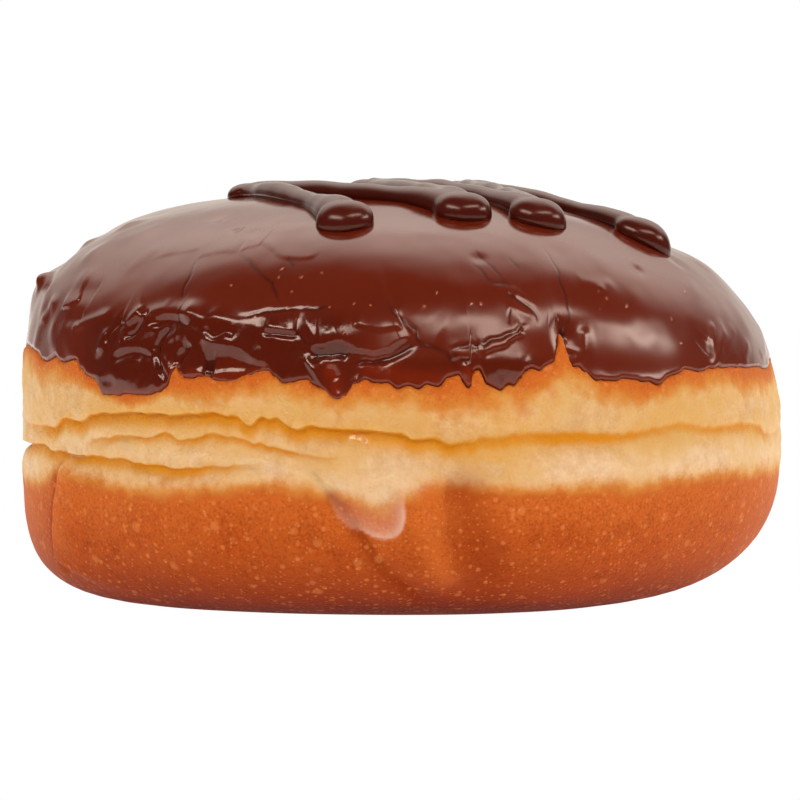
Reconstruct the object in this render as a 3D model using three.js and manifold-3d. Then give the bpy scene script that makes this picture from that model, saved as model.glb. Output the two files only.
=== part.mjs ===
// A filled, uncut doughnut with a cap of chocolate icing and a zigzag of darker chocolate on top.
// Millimetres, +Z up. It stands on the flat spot under its middle, centred on the origin.
// The photographed side is the front, towards -Y. Angles run round the doughnut in degrees:
// 0 at the front, 90 at the right (+X), -90 at the left, 180 at the back.

import * as THREE from "three";
import { mergeVertices } from "three/addons/utils/BufferGeometryUtils.js";
import Module from "manifold-3d";

const wasm = await Module();
wasm.setup();

// ---- Driving sizes ----------------------------------------------------------------------------

const ICED_HEIGHT = 48.1; // table to the top of the icing, without the zigzag
const FOOT_RADIUS = 12.5; // the flat spot it stands on

// The form changes from side to side. Fullness is how square the profile is: 2 is an ellipse.
const WIDEST_RADIUS = { left: 44.8, front: 44.5, right: 44.3, back: 44.6 };
const WIDEST_LEVEL = { left: 23.4, front: 21.2, right: 18.9, back: 21.4 };
const LOWER_FULLNESS = { left: 5.2, front: 3.2, right: 2.85, back: 3.4 };
const UPPER_FULLNESS = { left: 3.1, front: 2.8, right: 2.55, back: 2.8 };

const ICING_THICKNESS = 1.0;
const CLEARANCE = 0.3; // between the icing and the dough under it
const SEAT = ICING_THICKNESS + CLEARANCE; // how far the dough lies under the icing's face
const SEAT_RUN = 3.4; // the dough swells out to the full outline this far below the rim
const SEAT_EDGE = 0.6; // the seat is at its full depth from this far below the rim
const RIM_LIP = 0.35; // extra thickness of the rolled lip along the rim
const RIM_LIP_WIDTH = 2.0;

// The icing's lower edge, as [angle, height]: lobes, drips, a tongue and a notch at the front.
const RIM = [
  [-180, 28.6], [-168, 27.4], [-158, 28.9], [-149, 28.2], [-141, 26.6], [-133, 28.3],
  [-124, 29.2], [-116, 27.9], [-107, 28.4], [-98, 29.7], [-90, 29.2], [-83, 30.2],
  [-77, 30.0], [-72, 29.4], [-68, 28.6], [-64, 29.4], [-60, 28.9], [-57, 29.1],
  [-54, 27.5], [-50, 25.7], [-45, 25.6], [-40, 25.8], [-37, 26.9], [-35.5, 28.9],
  [-33.5, 28.0], [-29, 27.7], [-25, 27.8], [-20, 28.8], [-17, 27.7], [-14, 27.9],
  [-11.5, 27.1], [-9.5, 26.2], [-7.5, 27.6], [-5, 27.9], [-1, 27.1], [2, 27.2],
  [5, 27.4], [7.5, 28.4], [9.5, 26.9], [11, 28.8], [13.5, 27.1], [16, 27.4],
  [18.5, 29.2], [21.5, 29.6], [24, 32.6], [26, 29.2], [30, 27.6], [34, 27.7],
  [39, 26.9], [43, 27.6], [47, 28.5], [54, 28.4], [60, 28.3], [68, 28.3],
  [76, 27.6], [84, 28.6], [92, 27.4], [101, 28.9], [110, 28.0], [118, 26.7],
  [126, 28.4], [135, 29.3], [144, 27.8], [153, 28.6], [162, 27.2], [171, 29.0],
];

// Folds run round the pale band where the dough rose: [angle, height, depth] along each, and how
// far the hollow reaches above it, under a sharp lip, and below it.
const MAIN_FOLD = {
  path: [
    [-180, 22.0, 0.9], [-160, 22.8, 1.2], [-140, 21.6, 0.8], [-120, 22.4, 1.0], [-100, 21.8, 0.5],
    [-84, 21.5, 0.3], [-70, 21.4, 0.9], [-60, 22.5, 1.3], [-50, 23.6, 1.6], [-40, 23.8, 1.6],
    [-28, 24.1, 1.4], [-22.5, 23.0, 1.0], [-20, 23.7, 1.3], [-15.5, 22.6, 1.2], [-10, 22.7, 1.4],
    [0, 22.2, 1.3], [6, 20.9, 1.2], [14, 21.2, 1.4], [22, 21.7, 1.2], [30, 21.4, 0.9],
    [44, 22.2, 0.9], [55, 21.7, 0.8], [68, 21.5, 0.6], [76, 20.4, 0.4], [90, 21.0, 0.4],
    [106, 22.6, 0.9], [122, 21.8, 1.1], [140, 22.9, 0.8], [160, 21.4, 1.2],
  ],
  closed: true, above: 0.55, below: 1.2,
};
const MIDDLE_FOLD = {
  path: [
    [-55, 19.8, 0], [-50, 20.7, 0.6], [-44, 21.2, 0.7], [-36, 21.5, 0.7], [-28, 21.7, 0.7],
    [-20, 20.8, 0.8], [-14, 19.6, 0.6], [-8, 19.6, 0],
  ],
  closed: false, above: 0.5, below: 0.8,
};
const LOWER_FOLD = {
  path: [
    [-112, 18.2, 0], [-100, 18.8, 1.2], [-90, 19.2, 2.2], [-82, 19.1, 2.0], [-68, 18.9, 1.3],
    [-58, 18.7, 1.2], [-48, 18.5, 1.1], [-38, 17.9, 1.1], [-28, 18.0, 0.8], [-18, 18.9, 0],
  ],
  closed: false, above: 0.5, below: 1.1,
};
const FOLDS = [MAIN_FOLD, MIDDLE_FOLD, LOWER_FOLD];

// Grooves and dents that cross the brown lower crust, along [angle, height].
const GROOVES = [
  { path: [[-13, 18], [-10, 14.8], [-6, 10.5], [-3.5, 6.6], [1, 3.6], [4, 2.2]], depth: 0.9, reach: 1.8 },
  { path: [[6, 20.5], [6, 16], [5.6, 13.5], [7, 10], [11, 6]], depth: 0.7, reach: 1.4 },
  { path: [[10, 17], [11.5, 11], [14, 6.5]], depth: 0.9, reach: 4.2 },
  { path: [[-60, 18.6], [-63, 14], [-65.5, 10], [-72, 5.8]], depth: 0.8, reach: 1.6 },
  { path: [[118, 17], [121, 11], [127, 6]], depth: 0.8, reach: 2.4 },
  { path: [[-142, 18], [-147, 11], [-150, 5.5]], depth: 0.9, reach: 2.8 },
];
const DOUGH_UNEVENNESS = { size: 17, height: 0.45 }; // the dough's own gentle swellings

// Hollows and bumps, as [angle, height, how far it reaches, how high it stands]: first those of the
// whole doughnut, then those of the icing's face alone.
const FORM_SWELLS = [
  [92, 44.6, 12, -1.3], [80, 39.5, 4.5, 0.5], [-92, 37.6, 4.0, 1.0], [-91, 41.4, 3.8, -1.0],
];
const ICING_SWELLS = [
  [87, 30.9, 2.2, 0.7], [-28, 33.6, 3.0, 0.5], [-19, 33.4, 3.4, 0.7], [-33, 34.6, 2.4, 0.4],
  [-40, 31.0, 3.2, -0.4], [-24, 30.6, 3.2, -0.5], [-10, 33.2, 2.2, 0.5], [-4, 31.6, 2.6, -0.4],
  [10, 33.6, 4.4, 0.35], [24.5, 34.6, 2.6, -0.6], [26.5, 31.6, 1.6, 0.3], [36, 32.0, 5.0, 0.4],
  [-118, 34.0, 5.0, 0.5], [-150, 36.5, 5.0, -0.5], [170, 33.0, 4.5, 0.5], [140, 37.0, 5.0, -0.4],
];
const THINNEST_DIP = 0.4; // the icing's face dips no further than this
const CRUMPLE = { from: -76, to: -3, low: 26, high: 36.5, size: 3.4, height: 0.75 }; // folded icing

// The zigzag on top, seen from above as [x, y]. It turns in fat drops at the front and in loops
// behind, and its first and last points are drops.
const ZIGZAG = [
  [-6.7, -28.5], [-19.5, 0], [6.8, -24.5], [-3, 9], [14.8, -23.5], [8.5, 13], [27.2, -18],
];
const STRAND = { width: 3.0, height: 1.5 };
const DROP = { width: 6.6, length: 5.6, height: 2.4 };
const SWELL_TO_DROP = 0.22; // the share of a strand over which it widens into its drop
const SUNK = 0.6; // how far the zigzag reaches into the icing, less than its thickness

const FRONT_ARC = 88; // degrees to each side of the front that have the close columns
const FRONT_COLUMNS = 96;
const BACK_COLUMNS = 36;

// ---- Small helpers ----------------------------------------------------------------------------

const radians = THREE.MathUtils.degToRad;
const smooth = THREE.MathUtils.smoothstep;
const bell = (x) => Math.exp(-x * x);

function hash(i, j, k) {
  let h = Math.imul(i, 374761393) ^ Math.imul(j, 668265263) ^ Math.imul(k, 1442695041);
  h = Math.imul(h ^ (h >>> 13), 1274126177);
  return ((h ^ (h >>> 16)) >>> 0) / 4294967296;
}

// Smooth noise from -1 to 1 that changes over about one unit.
function noise(point) {
  const cell = point.clone().floor();
  const ease = (t) => t * t * (3 - 2 * t);
  const part = point.clone().sub(cell);
  let total = 0;
  for (let corner = 0; corner < 8; corner++) {
    const step = [corner & 1, (corner >> 1) & 1, corner >> 2];
    const weight = ["x", "y", "z"].reduce(
      (w, axis, i) => w * (step[i] ? ease(part[axis]) : 1 - ease(part[axis])),
      1,
    );
    total += weight * hash(cell.x + step[0], cell.y + step[1], cell.z + step[2]);
  }
  return 2 * total - 1;
}

// A value along a path of [angle, height, depth] points, eased between them. A closed path goes
// all the way round.
const HEIGHT = 1;
const DEPTH = 2;
function onPath(path, angle, closed, value) {
  const [start] = path;
  const points = closed ? [...path, [start[0] + 360, ...start.slice(1)]] : path;
  if (angle <= start[0]) return start[value];
  for (let i = 1; i < points.length; i++) {
    const from = points[i - 1];
    const to = points[i];
    if (angle <= to[0]) return from[value] + (to[value] - from[value]) * smooth(angle, from[0], to[0]);
  }
  return points[points.length - 1][value];
}

// ---- The outline of the whole doughnut ---------------------------------------------------------

// A value that is given for the four sides, at an angle between them.
function between(sides, angle) {
  const s = Math.sin(radians(angle));
  const c = Math.cos(radians(angle));
  const across = (sides.left + sides.right) / 2 + ((sides.right - sides.left) / 2) * s;
  const along = (sides.front + sides.back) / 2 + ((sides.front - sides.back) / 2) * c;
  return s * s * across + c * c * along;
}

// The profile at an angle, where turn goes from -90 at the foot's edge, past 0 at the widest
// level, to 90 at the top.
function outline(angle, turn) {
  const widest = between(WIDEST_RADIUS, angle);
  const level = between(WIDEST_LEVEL, angle);
  const upper = turn >= 0;
  const power = 2 / between(upper ? UPPER_FULLNESS : LOWER_FULLNESS, angle);
  const out = Math.max(0, Math.cos(radians(turn))) ** power;
  const up = Math.abs(Math.sin(radians(turn))) ** power;
  return upper
    ? { radius: widest * out, height: level + (ICED_HEIGHT - level) * up }
    : { radius: FOOT_RADIUS + (widest - FOOT_RADIUS) * out, height: level - level * up };
}

// The turn at which the profile reaches a height.
function turnAt(angle, height) {
  const level = between(WIDEST_LEVEL, angle);
  const upper = height >= level;
  const share = upper ? (height - level) / (ICED_HEIGHT - level) : (level - height) / level;
  const power = between(upper ? UPPER_FULLNESS : LOWER_FULLNESS, angle) / 2;
  const turn = THREE.MathUtils.radToDeg(Math.asin(Math.min(1, share ** power)));
  return upper ? turn : -turn;
}

function standing(angle, radius, height) {
  return new THREE.Vector3(radius * Math.sin(radians(angle)), -radius * Math.cos(radians(angle)), height);
}

// How far a list of swells raises a spot on the smooth outline.
function swell(list, spot) {
  return list.reduce((sum, [angle, height, reach, rise]) => {
    const { radius } = outline(angle, turnAt(angle, height));
    return sum + rise * bell(spot.distanceTo(standing(angle, radius, height)) / reach);
  }, 0);
}

// The point at an angle and turn, raised by lift along the profile's own normal.
function place(angle, turn, lift) {
  const step = 0.05;
  const { radius, height } = outline(angle, turn);
  const before = outline(angle, Math.max(-90, turn - step));
  const after = outline(angle, Math.min(90, turn + step));
  const out = new THREE.Vector2(after.height - before.height, before.radius - after.radius).normalize();
  const raised = lift + swell(FORM_SWELLS, standing(angle, radius, height));
  return standing(angle, radius + out.x * raised, height + out.y * raised);
}

// ---- Closed bodies from rings of points ---------------------------------------------------------

// Joins rings, each with as many points as the last or half as many, and closes both ends on a
// point. The rings go round with the body's outside on their right, from the first end up.
function closedBody(first, rings, last) {
  const points = [first, ...rings.flat(), last];
  const faces = [];
  const starts = [];
  let count = 1;
  for (const ring of rings) {
    starts.push(count);
    count += ring.length;
  }
  const at = (ring, i) => starts[ring] + (i % rings[ring].length);
  rings[0].forEach((_, i) => faces.push([0, at(0, i + 1), at(0, i)]));
  for (let r = 1; r < rings.length; r++) {
    const lower = rings[r - 1].length;
    const upper = rings[r].length;
    const pace = lower / upper;
    for (let i = 0; i < upper; i++) {
      const a = at(r - 1, i * pace);
      const b = at(r - 1, (i + 1) * pace);
      const c = at(r, i + 1);
      const d = at(r, i);
      if (pace > 1) {
        const middle = at(r - 1, i * pace + 1);
        faces.push([a, middle, d], [middle, c, d], [middle, b, c]);
      } else if (pace < 1) {
        continue;
      } else if (points[a].distanceTo(points[c]) < points[b].distanceTo(points[d])) {
        faces.push([a, b, c], [a, c, d]);
      } else {
        faces.push([a, b, d], [b, c, d]);
      }
    }
    if (pace < 1) {
      for (let i = 0; i < lower; i++) {
        const a = at(r - 1, i);
        const b = at(r - 1, i + 1);
        const middle = at(r, 2 * i + 1);
        faces.push([a, middle, at(r, 2 * i)], [a, b, middle], [b, at(r, 2 * i + 2), middle]);
      }
    }
  }
  const top = rings.length - 1;
  rings[top].forEach((_, i) => faces.push([count, at(top, i), at(top, i + 1)]));
  const geometry = new THREE.BufferGeometry().setFromPoints(points);
  return geometry.setIndex(faces.flat());
}

function solid(geometry) {
  const merged = mergeVertices(geometry, 1e-4);
  return new wasm.Manifold(
    new wasm.Mesh({
      numProp: 3,
      vertProperties: new Float32Array(merged.attributes.position.array),
      triVerts: new Uint32Array(merged.index.array),
    }),
  );
}

function geometryOf(body) {
  const mesh = body.getMesh();
  return new THREE.BufferGeometry()
    .setAttribute("position", new THREE.BufferAttribute(mesh.vertProperties, 3))
    .setIndex(new THREE.BufferAttribute(mesh.triVerts, 1));
}

// Column angles: close together at the front, wider apart behind.
const COLUMNS = [];
for (let i = 0; i < FRONT_COLUMNS; i++) {
  COLUMNS.push(-FRONT_ARC + (2 * FRONT_ARC * i) / FRONT_COLUMNS);
}
for (let i = 0; i < BACK_COLUMNS; i++) {
  const angle = FRONT_ARC + ((360 - 2 * FRONT_ARC) * i) / BACK_COLUMNS;
  COLUMNS.push(angle > 180 ? angle - 360 : angle);
}

// One ring of the surface, with a point on every column, or on every second or fourth.
function ring(every, pointAt) {
  return COLUMNS.filter((_, i) => i % every === 0).map(pointAt);
}

// ---- Dough --------------------------------------------------------------------------------------

const rimHeight = (angle) => onPath(RIM, angle, true, HEIGHT);

function foldDepth(fold, angle, height) {
  const above = height - onPath(fold.path, angle, fold.closed, HEIGHT);
  const depth = onPath(fold.path, angle, fold.closed, DEPTH);
  return depth * bell(above / (above > 0 ? fold.above : fold.below));
}

// The distance in mm from a place on the side to the nearest point of a groove's path.
function distanceTo(path, angle, height) {
  const across = radians(1) * WIDEST_RADIUS.front;
  const spot = new THREE.Vector3(angle * across, height, 0);
  const nearest = new THREE.Vector3();
  const piece = new THREE.Line3();
  let least = Infinity;
  for (let i = 1; i < path.length; i++) {
    piece.start.set(path[i - 1][0] * across, path[i - 1][1], 0);
    piece.end.set(path[i][0] * across, path[i][1], 0);
    piece.closestPointToPoint(spot, true, nearest);
    least = Math.min(least, nearest.distanceTo(spot));
  }
  return least;
}

function doughLift(angle, turn) {
  const { radius, height } = outline(angle, turn);
  const spot = standing(angle, radius, height);
  const rim = rimHeight(angle);
  const seat = SEAT * smooth(height, rim - SEAT_RUN, rim - SEAT_EDGE);
  const clearOfFoot = smooth(height, 0, 4);
  const uneven = noise(spot.divideScalar(DOUGH_UNEVENNESS.size)) * DOUGH_UNEVENNESS.height;
  const open = 1 - smooth(height, rim - SEAT_RUN, rim);
  const folds = FOLDS.reduce((sum, fold) => sum + foldDepth(fold, angle, height), 0);
  const grooves = GROOVES.reduce(
    (sum, groove) => sum + groove.depth * bell(distanceTo(groove.path, angle, height) / groove.reach),
    0,
  );
  return -seat + open * clearOfFoot * (uneven - folds - grooves);
}

function doughRing(every, heightAt) {
  return ring(every, (angle) => {
    const turn = turnAt(angle, heightAt(angle));
    return place(angle, turn, doughLift(angle, turn));
  });
}

// Rings from just above the icing's rim to near the top. The dough's seat and the inside of the
// icing have the same ones, so that the clearance between them is even.
function seatRings(lift) {
  return [0.015, 0.07, 0.17, 0.3, 0.45, 0.6, 0.75, 0.89].map((share) => {
    const every = share < 0.1 ? 1 : share < 0.4 ? 2 : 4;
    return ring(every, (angle) => {
      const rim = turnAt(angle, rimHeight(angle));
      return place(angle, rim + (90 - rim) * share, lift);
    });
  });
}

function makeDough() {
  const mainFold = (angle) => onPath(MAIN_FOLD.path, angle, true, HEIGHT);
  const lowerFold = (angle) =>
    Math.min(onPath(LOWER_FOLD.path, angle, false, HEIGHT), mainFold(angle) - 2.2);
  const rings = [];
  const foot = -90;
  for (const turn of [foot, -80, -66, -54, -44]) {
    const every = turn < -70 ? 4 : 2;
    rings.push(ring(every, (angle) => place(angle, turn, doughLift(angle, turn))));
  }
  // Evenly up the lower crust to the lower fold.
  const crustStart = (angle) => outline(angle, -44).height;
  for (const share of [0.2, 0.42, 0.64, 0.85]) {
    rings.push(
      doughRing(1, (angle) => {
        const start = crustStart(angle);
        return start + (lowerFold(angle) - 1.2 - start) * share;
      }),
    );
  }
  // Close rings follow both folds.
  for (const above of [-1.0, -0.3, 0.5]) {
    rings.push(doughRing(1, (angle) => lowerFold(angle) + above));
  }
  rings.push(doughRing(1, (angle) => (lowerFold(angle) + 0.5 + mainFold(angle) - 1.4) / 2));
  for (const above of [-1.4, -0.6, 0, 0.8]) {
    rings.push(doughRing(1, (angle) => mainFold(angle) + above));
  }
  // The shoulder up to the icing's rim, and the seat under the icing.
  for (const share of [0.45, 0.8]) {
    rings.push(
      doughRing(1, (angle) => {
        const start = mainFold(angle) + 0.8;
        return start + (rimHeight(angle) - SEAT_EDGE - start) * share;
      }),
    );
  }
  rings.push(doughRing(1, (angle) => rimHeight(angle) - SEAT_EDGE));
  rings.push(...seatRings(-SEAT));
  return closedBody(new THREE.Vector3(0, 0, 0), rings, place(0, 90, -SEAT));
}

// ---- Icing --------------------------------------------------------------------------------------

// The icing's face at an angle and a turn, and how far it stands off the smooth outline.
function icingLift(angle, turn) {
  const { radius, height } = outline(angle, turn);
  const spot = standing(angle, radius, height);
  const zone =
    smooth(angle, CRUMPLE.from, CRUMPLE.from + 12) *
    (1 - smooth(angle, CRUMPLE.to - 8, CRUMPLE.to)) *
    smooth(spot.z, CRUMPLE.low, CRUMPLE.low + 2) *
    (1 - smooth(spot.z, CRUMPLE.high - 3.5, CRUMPLE.high));
  const lift = swell(ICING_SWELLS, spot);
  const ridge = 1 - 2.6 * Math.abs(noise(spot.divideScalar(CRUMPLE.size)));
  return Math.max(-THINNEST_DIP, lift + zone * CRUMPLE.height * ridge);
}

// Where a distance along the profile, up from the icing's rim, ends.
function turnAbove(angle, distance) {
  let turn = turnAt(angle, rimHeight(angle));
  const step = 0.5;
  let here = outline(angle, turn);
  let gone = 0;
  while (gone < distance && turn < 90 - step) {
    const next = outline(angle, turn + step);
    gone += Math.hypot(next.radius - here.radius, next.height - here.height);
    here = next;
    turn += step;
  }
  return turn;
}

function makeIcingCap() {
  const face = (angle, distance) => {
    const turn = turnAbove(angle, distance);
    const round = Math.sqrt(1 - (1 - Math.min(1, distance / RIM_LIP_WIDTH)) ** 2);
    const lip = RIM_LIP * bell((distance - RIM_LIP_WIDTH / 2) / RIM_LIP_WIDTH);
    const raised = (lip + icingLift(angle, turn)) * round;
    return place(angle, turn, raised - (ICING_THICKNESS / 2) * (1 - round));
  };
  const rings = seatRings(-ICING_THICKNESS).reverse();
  for (const distance of [0, 0.35, 1.0, 2.0, 3.2, 4.6, 6.2, 8, 10.5, 13.5, 17.5, 22, 27, 33]) {
    const every = distance < 12 ? 1 : distance < 30 ? 2 : 4;
    rings.push(ring(every, (angle) => face(angle, distance)));
  }
  for (const turn of [75, 82]) {
    rings.push(ring(4, (angle) => place(angle, turn, icingLift(angle, turn))));
  }
  return closedBody(place(0, 90, -ICING_THICKNESS), rings, place(0, 90, 0));
}

// The icing's face above a place seen from above.
function icingTop(x, y) {
  const angle = THREE.MathUtils.radToDeg(Math.atan2(x, -y));
  const fullness = between(UPPER_FULLNESS, angle);
  const share = Math.hypot(x, y) / between(WIDEST_RADIUS, angle);
  const turn = THREE.MathUtils.radToDeg(Math.acos(Math.min(1, share ** (fullness / 2))));
  return place(angle, turn, icingLift(angle, turn));
}

// A bead of chocolate that lies on the icing from one place to another, with a round top. Its
// width and height follow size(t), for t from 0 to 1 along it.
function bead(from, to, size) {
  const STEPS = 12;
  const SIDES = 10;
  const along = new THREE.Vector2(to[0] - from[0], to[1] - from[1]).normalize();
  const across = new THREE.Vector2(-along.y, along.x);
  const spot = (t, aside) => icingTop(
    THREE.MathUtils.lerp(from[0], to[0], t) + across.x * aside,
    THREE.MathUtils.lerp(from[1], to[1], t) + across.y * aside,
  );
  const rings = [];
  for (let i = 0; i <= STEPS; i++) {
    const t = 0.5 - 0.5 * Math.cos((Math.PI * (i + 0.35)) / (STEPS + 0.7));
    const { width, height } = size(t);
    rings.push(
      Array.from({ length: SIDES }, (_, k) => {
        const turn = (2 * Math.PI * k) / SIDES;
        const point = spot(t, (Math.cos(turn) * width) / 2);
        point.z += Math.sin(turn) * (Math.sin(turn) > 0 ? height : Math.min(SUNK, height));
        return point;
      }),
    );
  }
  return closedBody(spot(0, 0), rings, spot(1, 0));
}

// How far a round end has closed: 1 along the bead, falling to 0 over the last share of each end.
function roundEnds(t, share) {
  const beyond = Math.max(0, Math.abs(2 * t - 1) - (1 - share)) / share;
  return Math.sqrt(1 - beyond ** 2);
}

function zigzagBeads() {
  const beads = [];
  for (let i = 1; i < ZIGZAG.length; i++) {
    // Every second point is a loop at the back, and the others are drops.
    const dropFirst = i % 2 === 1;
    beads.push(
      bead(ZIGZAG[i - 1], ZIGZAG[i], (t) => {
        const nearDrop = 1 - smooth(dropFirst ? t : 1 - t, 0, SWELL_TO_DROP);
        const close = roundEnds(t, 0.1);
        return {
          width: THREE.MathUtils.lerp(STRAND.width, DROP.length - 1, nearDrop) * close,
          height: THREE.MathUtils.lerp(STRAND.height, DROP.height - 0.3, nearDrop) * close,
        };
      }),
    );
  }
  for (const [x, y] of ZIGZAG.filter((_, i) => i % 2 === 0)) {
    const reach = DROP.width / 2;
    beads.push(
      bead([x - reach, y], [x + reach, y], (t) => ({
        width: DROP.length * roundEnds(t, 1),
        height: DROP.height * roundEnds(t, 1),
      })),
    );
  }
  return beads;
}

function makeIcing() {
  return geometryOf(
    zigzagBeads().reduce((body, geometry) => body.add(solid(geometry)), solid(makeIcingCap())),
  );
}

// ---- The doughnut -------------------------------------------------------------------------------

const DOUGH_FINISH = new THREE.MeshStandardMaterial({ color: "#c97435", roughness: 0.75, metalness: 0 });
const ICING_FINISH = new THREE.MeshStandardMaterial({ color: "#57231a", roughness: 0.22, metalness: 0 });

const doughnut = new THREE.Group();
for (const [name, geometry, finish] of [
  ["dough", makeDough(), DOUGH_FINISH],
  ["icing", makeIcing(), ICING_FINISH],
]) {
  const mesh = new THREE.Mesh(geometry, finish);
  mesh.name = name;
  doughnut.add(mesh);
}

// The origin is on the table under the middle of the whole doughnut.
const extent = new THREE.Box3().setFromObject(doughnut);
const middle = extent.getCenter(new THREE.Vector3());
for (const mesh of doughnut.children) mesh.position.set(-middle.x, -middle.y, -extent.min.z);

export default doughnut;
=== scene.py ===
"""A boston cream doughnut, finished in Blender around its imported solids.

Places and sizes are in millimetres, in the frame that the CAD source works in; a mesh becomes
metres as it is made. Angles run round the doughnut in degrees: 0 at the photographed front (-Y),
90 at its right (+X), -90 at its left.
"""

import math

import bpy
import numpy as np
from mathutils import Matrix, Vector


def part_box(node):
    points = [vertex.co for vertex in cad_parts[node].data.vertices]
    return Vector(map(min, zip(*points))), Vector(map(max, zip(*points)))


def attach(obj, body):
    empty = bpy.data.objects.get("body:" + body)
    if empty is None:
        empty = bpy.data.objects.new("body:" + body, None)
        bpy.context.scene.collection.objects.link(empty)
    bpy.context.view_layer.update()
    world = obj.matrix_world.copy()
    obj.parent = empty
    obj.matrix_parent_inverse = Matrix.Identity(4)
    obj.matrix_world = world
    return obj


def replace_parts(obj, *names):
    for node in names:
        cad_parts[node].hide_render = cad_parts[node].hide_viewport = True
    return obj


MM = 0.001

# ---- The form, as the CAD source has it ------------------

ICED_HEIGHT = 48.1
FOOT_RADIUS = 12.5
WIDEST_RADIUS = {"left": 44.8, "front": 44.5, "right": 44.3, "back": 44.6}
WIDEST_LEVEL = {"left": 23.4, "front": 21.2, "right": 18.9, "back": 21.4}
LOWER_FULLNESS = {"left": 5.2, "front": 3.2, "right": 2.85, "back": 3.4}
UPPER_FULLNESS = {"left": 3.1, "front": 2.8, "right": 2.55, "back": 2.8}

ICING_THICKNESS = 1.0
SEAT = 1.05  # how far the dough lies under the icing's face
SEAT_RUN = 0.2  # the dough swells out to the full outline this far below the rim
SEAT_DEPTH = 0.9  # and lies fully under the icing this far above it
RIM_ROUND = 0.45  # how far up the rim's rounded edge reaches
RIM_TUCK = 0.9 * ICING_THICKNESS  # and how far it turns in below

# The icing's lower edge, as [angle, height].
RIM = [
    [-180, 28.6], [-168, 27.4], [-158, 28.9], [-149, 28.2], [-141, 26.6], [-133, 28.3],
    [-124, 29.2], [-116, 27.9], [-107, 28.4], [-98, 29.7], [-90, 29.2], [-83, 30.2],
    [-77.2, 30.0], [-72.2, 29.6], [-69.8, 28.9], [-68, 28.7], [-66.2, 29.2], [-64.2, 29.5],
    [-62.2, 28.9], [-61, 28.9], [-58.5, 29.3], [-57, 29.2], [-55.8, 28.3], [-54.2, 27.6],
    [-52.2, 27.3], [-51, 26.5], [-50.3, 25.6], [-48, 25.5], [-45.2, 25.7], [-40, 25.8],
    [-38.5, 26.2], [-36.8, 26.9], [-36, 28.6], [-35.6, 29.0], [-34.8, 28.4], [-33.8, 27.9],
    [-30.2, 28.0], [-28.2, 27.6], [-25.8, 27.7], [-23.2, 28.3], [-22, 28.7], [-20.2, 28.9],
    [-19, 28.3], [-17.8, 27.6], [-15.5, 27.8], [-14, 28.0], [-13.2, 27.4], [-11.5, 27.1],
    [-10.5, 26.5], [-9.5, 26.2], [-8.5, 26.5], [-7.8, 27.2], [-7.3, 27.9], [-5.8, 28.1],
    [-4.5, 27.7], [-2.5, 27.6], [-0.8, 27.0], [0.8, 27.4], [2.2, 27.0], [3.2, 27.4],
    [4.8, 27.2], [6.5, 28.2], [8, 28.5], [8.5, 27.8], [9, 27.3], [9.5, 27.2], [9.9, 28.9],
    [10.8, 29.1], [12, 27.5], [14, 26.9], [15.2, 27.5], [16, 27.3], [16.8, 28.1],
    [17.8, 29.0], [18.8, 29.3], [20, 28.8], [21, 29.4], [22.2, 29.8], [23.2, 31.4],
    [24, 32.8], [24.5, 31.3], [24.8, 30.0], [25.5, 29.2], [26.3, 29.3], [27.2, 28.7],
    [29.5, 27.7], [31, 27.5], [34, 27.8], [38.2, 27.4], [40.2, 26.8], [42.5, 27.8],
    [47, 28.5], [49.8, 28.2], [54.2, 28.5], [59, 28.4], [69.8, 28.2], [76, 27.6],
    [84, 28.6], [92, 27.4], [101, 28.9], [110, 28.0], [118, 26.7], [126, 28.4], [135, 29.3],
    [144, 27.8], [153, 28.6], [162, 27.2], [171, 29.0],
]
RAGGED = 0.14  # how far small scallops move the rim

# Folds round the pale band: [angle, height, depth, how sharp its upper lip is].
MAIN_FOLD = [
    [-180, 22.0, 0.9, 0.8], [-160, 22.8, 1.2, 1], [-140, 21.6, 0.8, 0.6], [-120, 22.4, 1.0, 0.8],
    [-100, 21.8, 0.5, 0.5], [-84, 21.5, 0.3, 0.4], [-72, 21.3, 0.7, 1], [-65, 21.4, 1.2, 1],
    [-60, 22.6, 1.5, 1], [-56, 22.4, 1.5, 1], [-53, 23.2, 1.7, 1], [-50, 23.6, 1.8, 1],
    [-44, 23.8, 1.8, 1], [-37, 23.8, 1.9, 1], [-29, 24.1, 1.8, 1], [-25, 23.8, 1.3, 1],
    [-23, 22.8, 1.1, 1], [-21, 23.7, 1.5, 1], [-18.8, 23.6, 1.4, 1], [-17, 22.9, 1.3, 1],
    [-15.5, 22.4, 1.2, 1], [-13.5, 22.9, 1.5, 1], [-10, 22.7, 1.6, 1], [-6.8, 22.5, 1.5, 1],
    [-0.8, 22.2, 1.4, 1], [1.2, 21.6, 1.4, 1], [4.2, 21.6, 1.3, 0.8], [6.5, 20.8, 1.3, 0.6],
    [9.5, 20.8, 1.2, 0.3], [11, 21.2, 1.2, 0.2], [18, 21.6, 1.2, 0.2], [25.5, 21.6, 1.0, 0.2],
    [33, 21.4, 0.9, 0.2], [40, 21.9, 0.8, 0.2], [44, 22.3, 0.8, 0.2], [51.5, 21.7, 0.8, 0.3],
    [59.5, 21.8, 0.8, 0.5], [67.5, 21.5, 0.8, 0.9], [71, 20.4, 0.7, 1], [76, 20.2, 0.4, 0.6],
    [90, 21.0, 0.4, 0.3], [106, 22.6, 0.9, 0.6], [122, 21.8, 1.1, 0.9], [140, 22.9, 0.8, 0.6],
    [160, 21.4, 1.2, 1],
]
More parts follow.
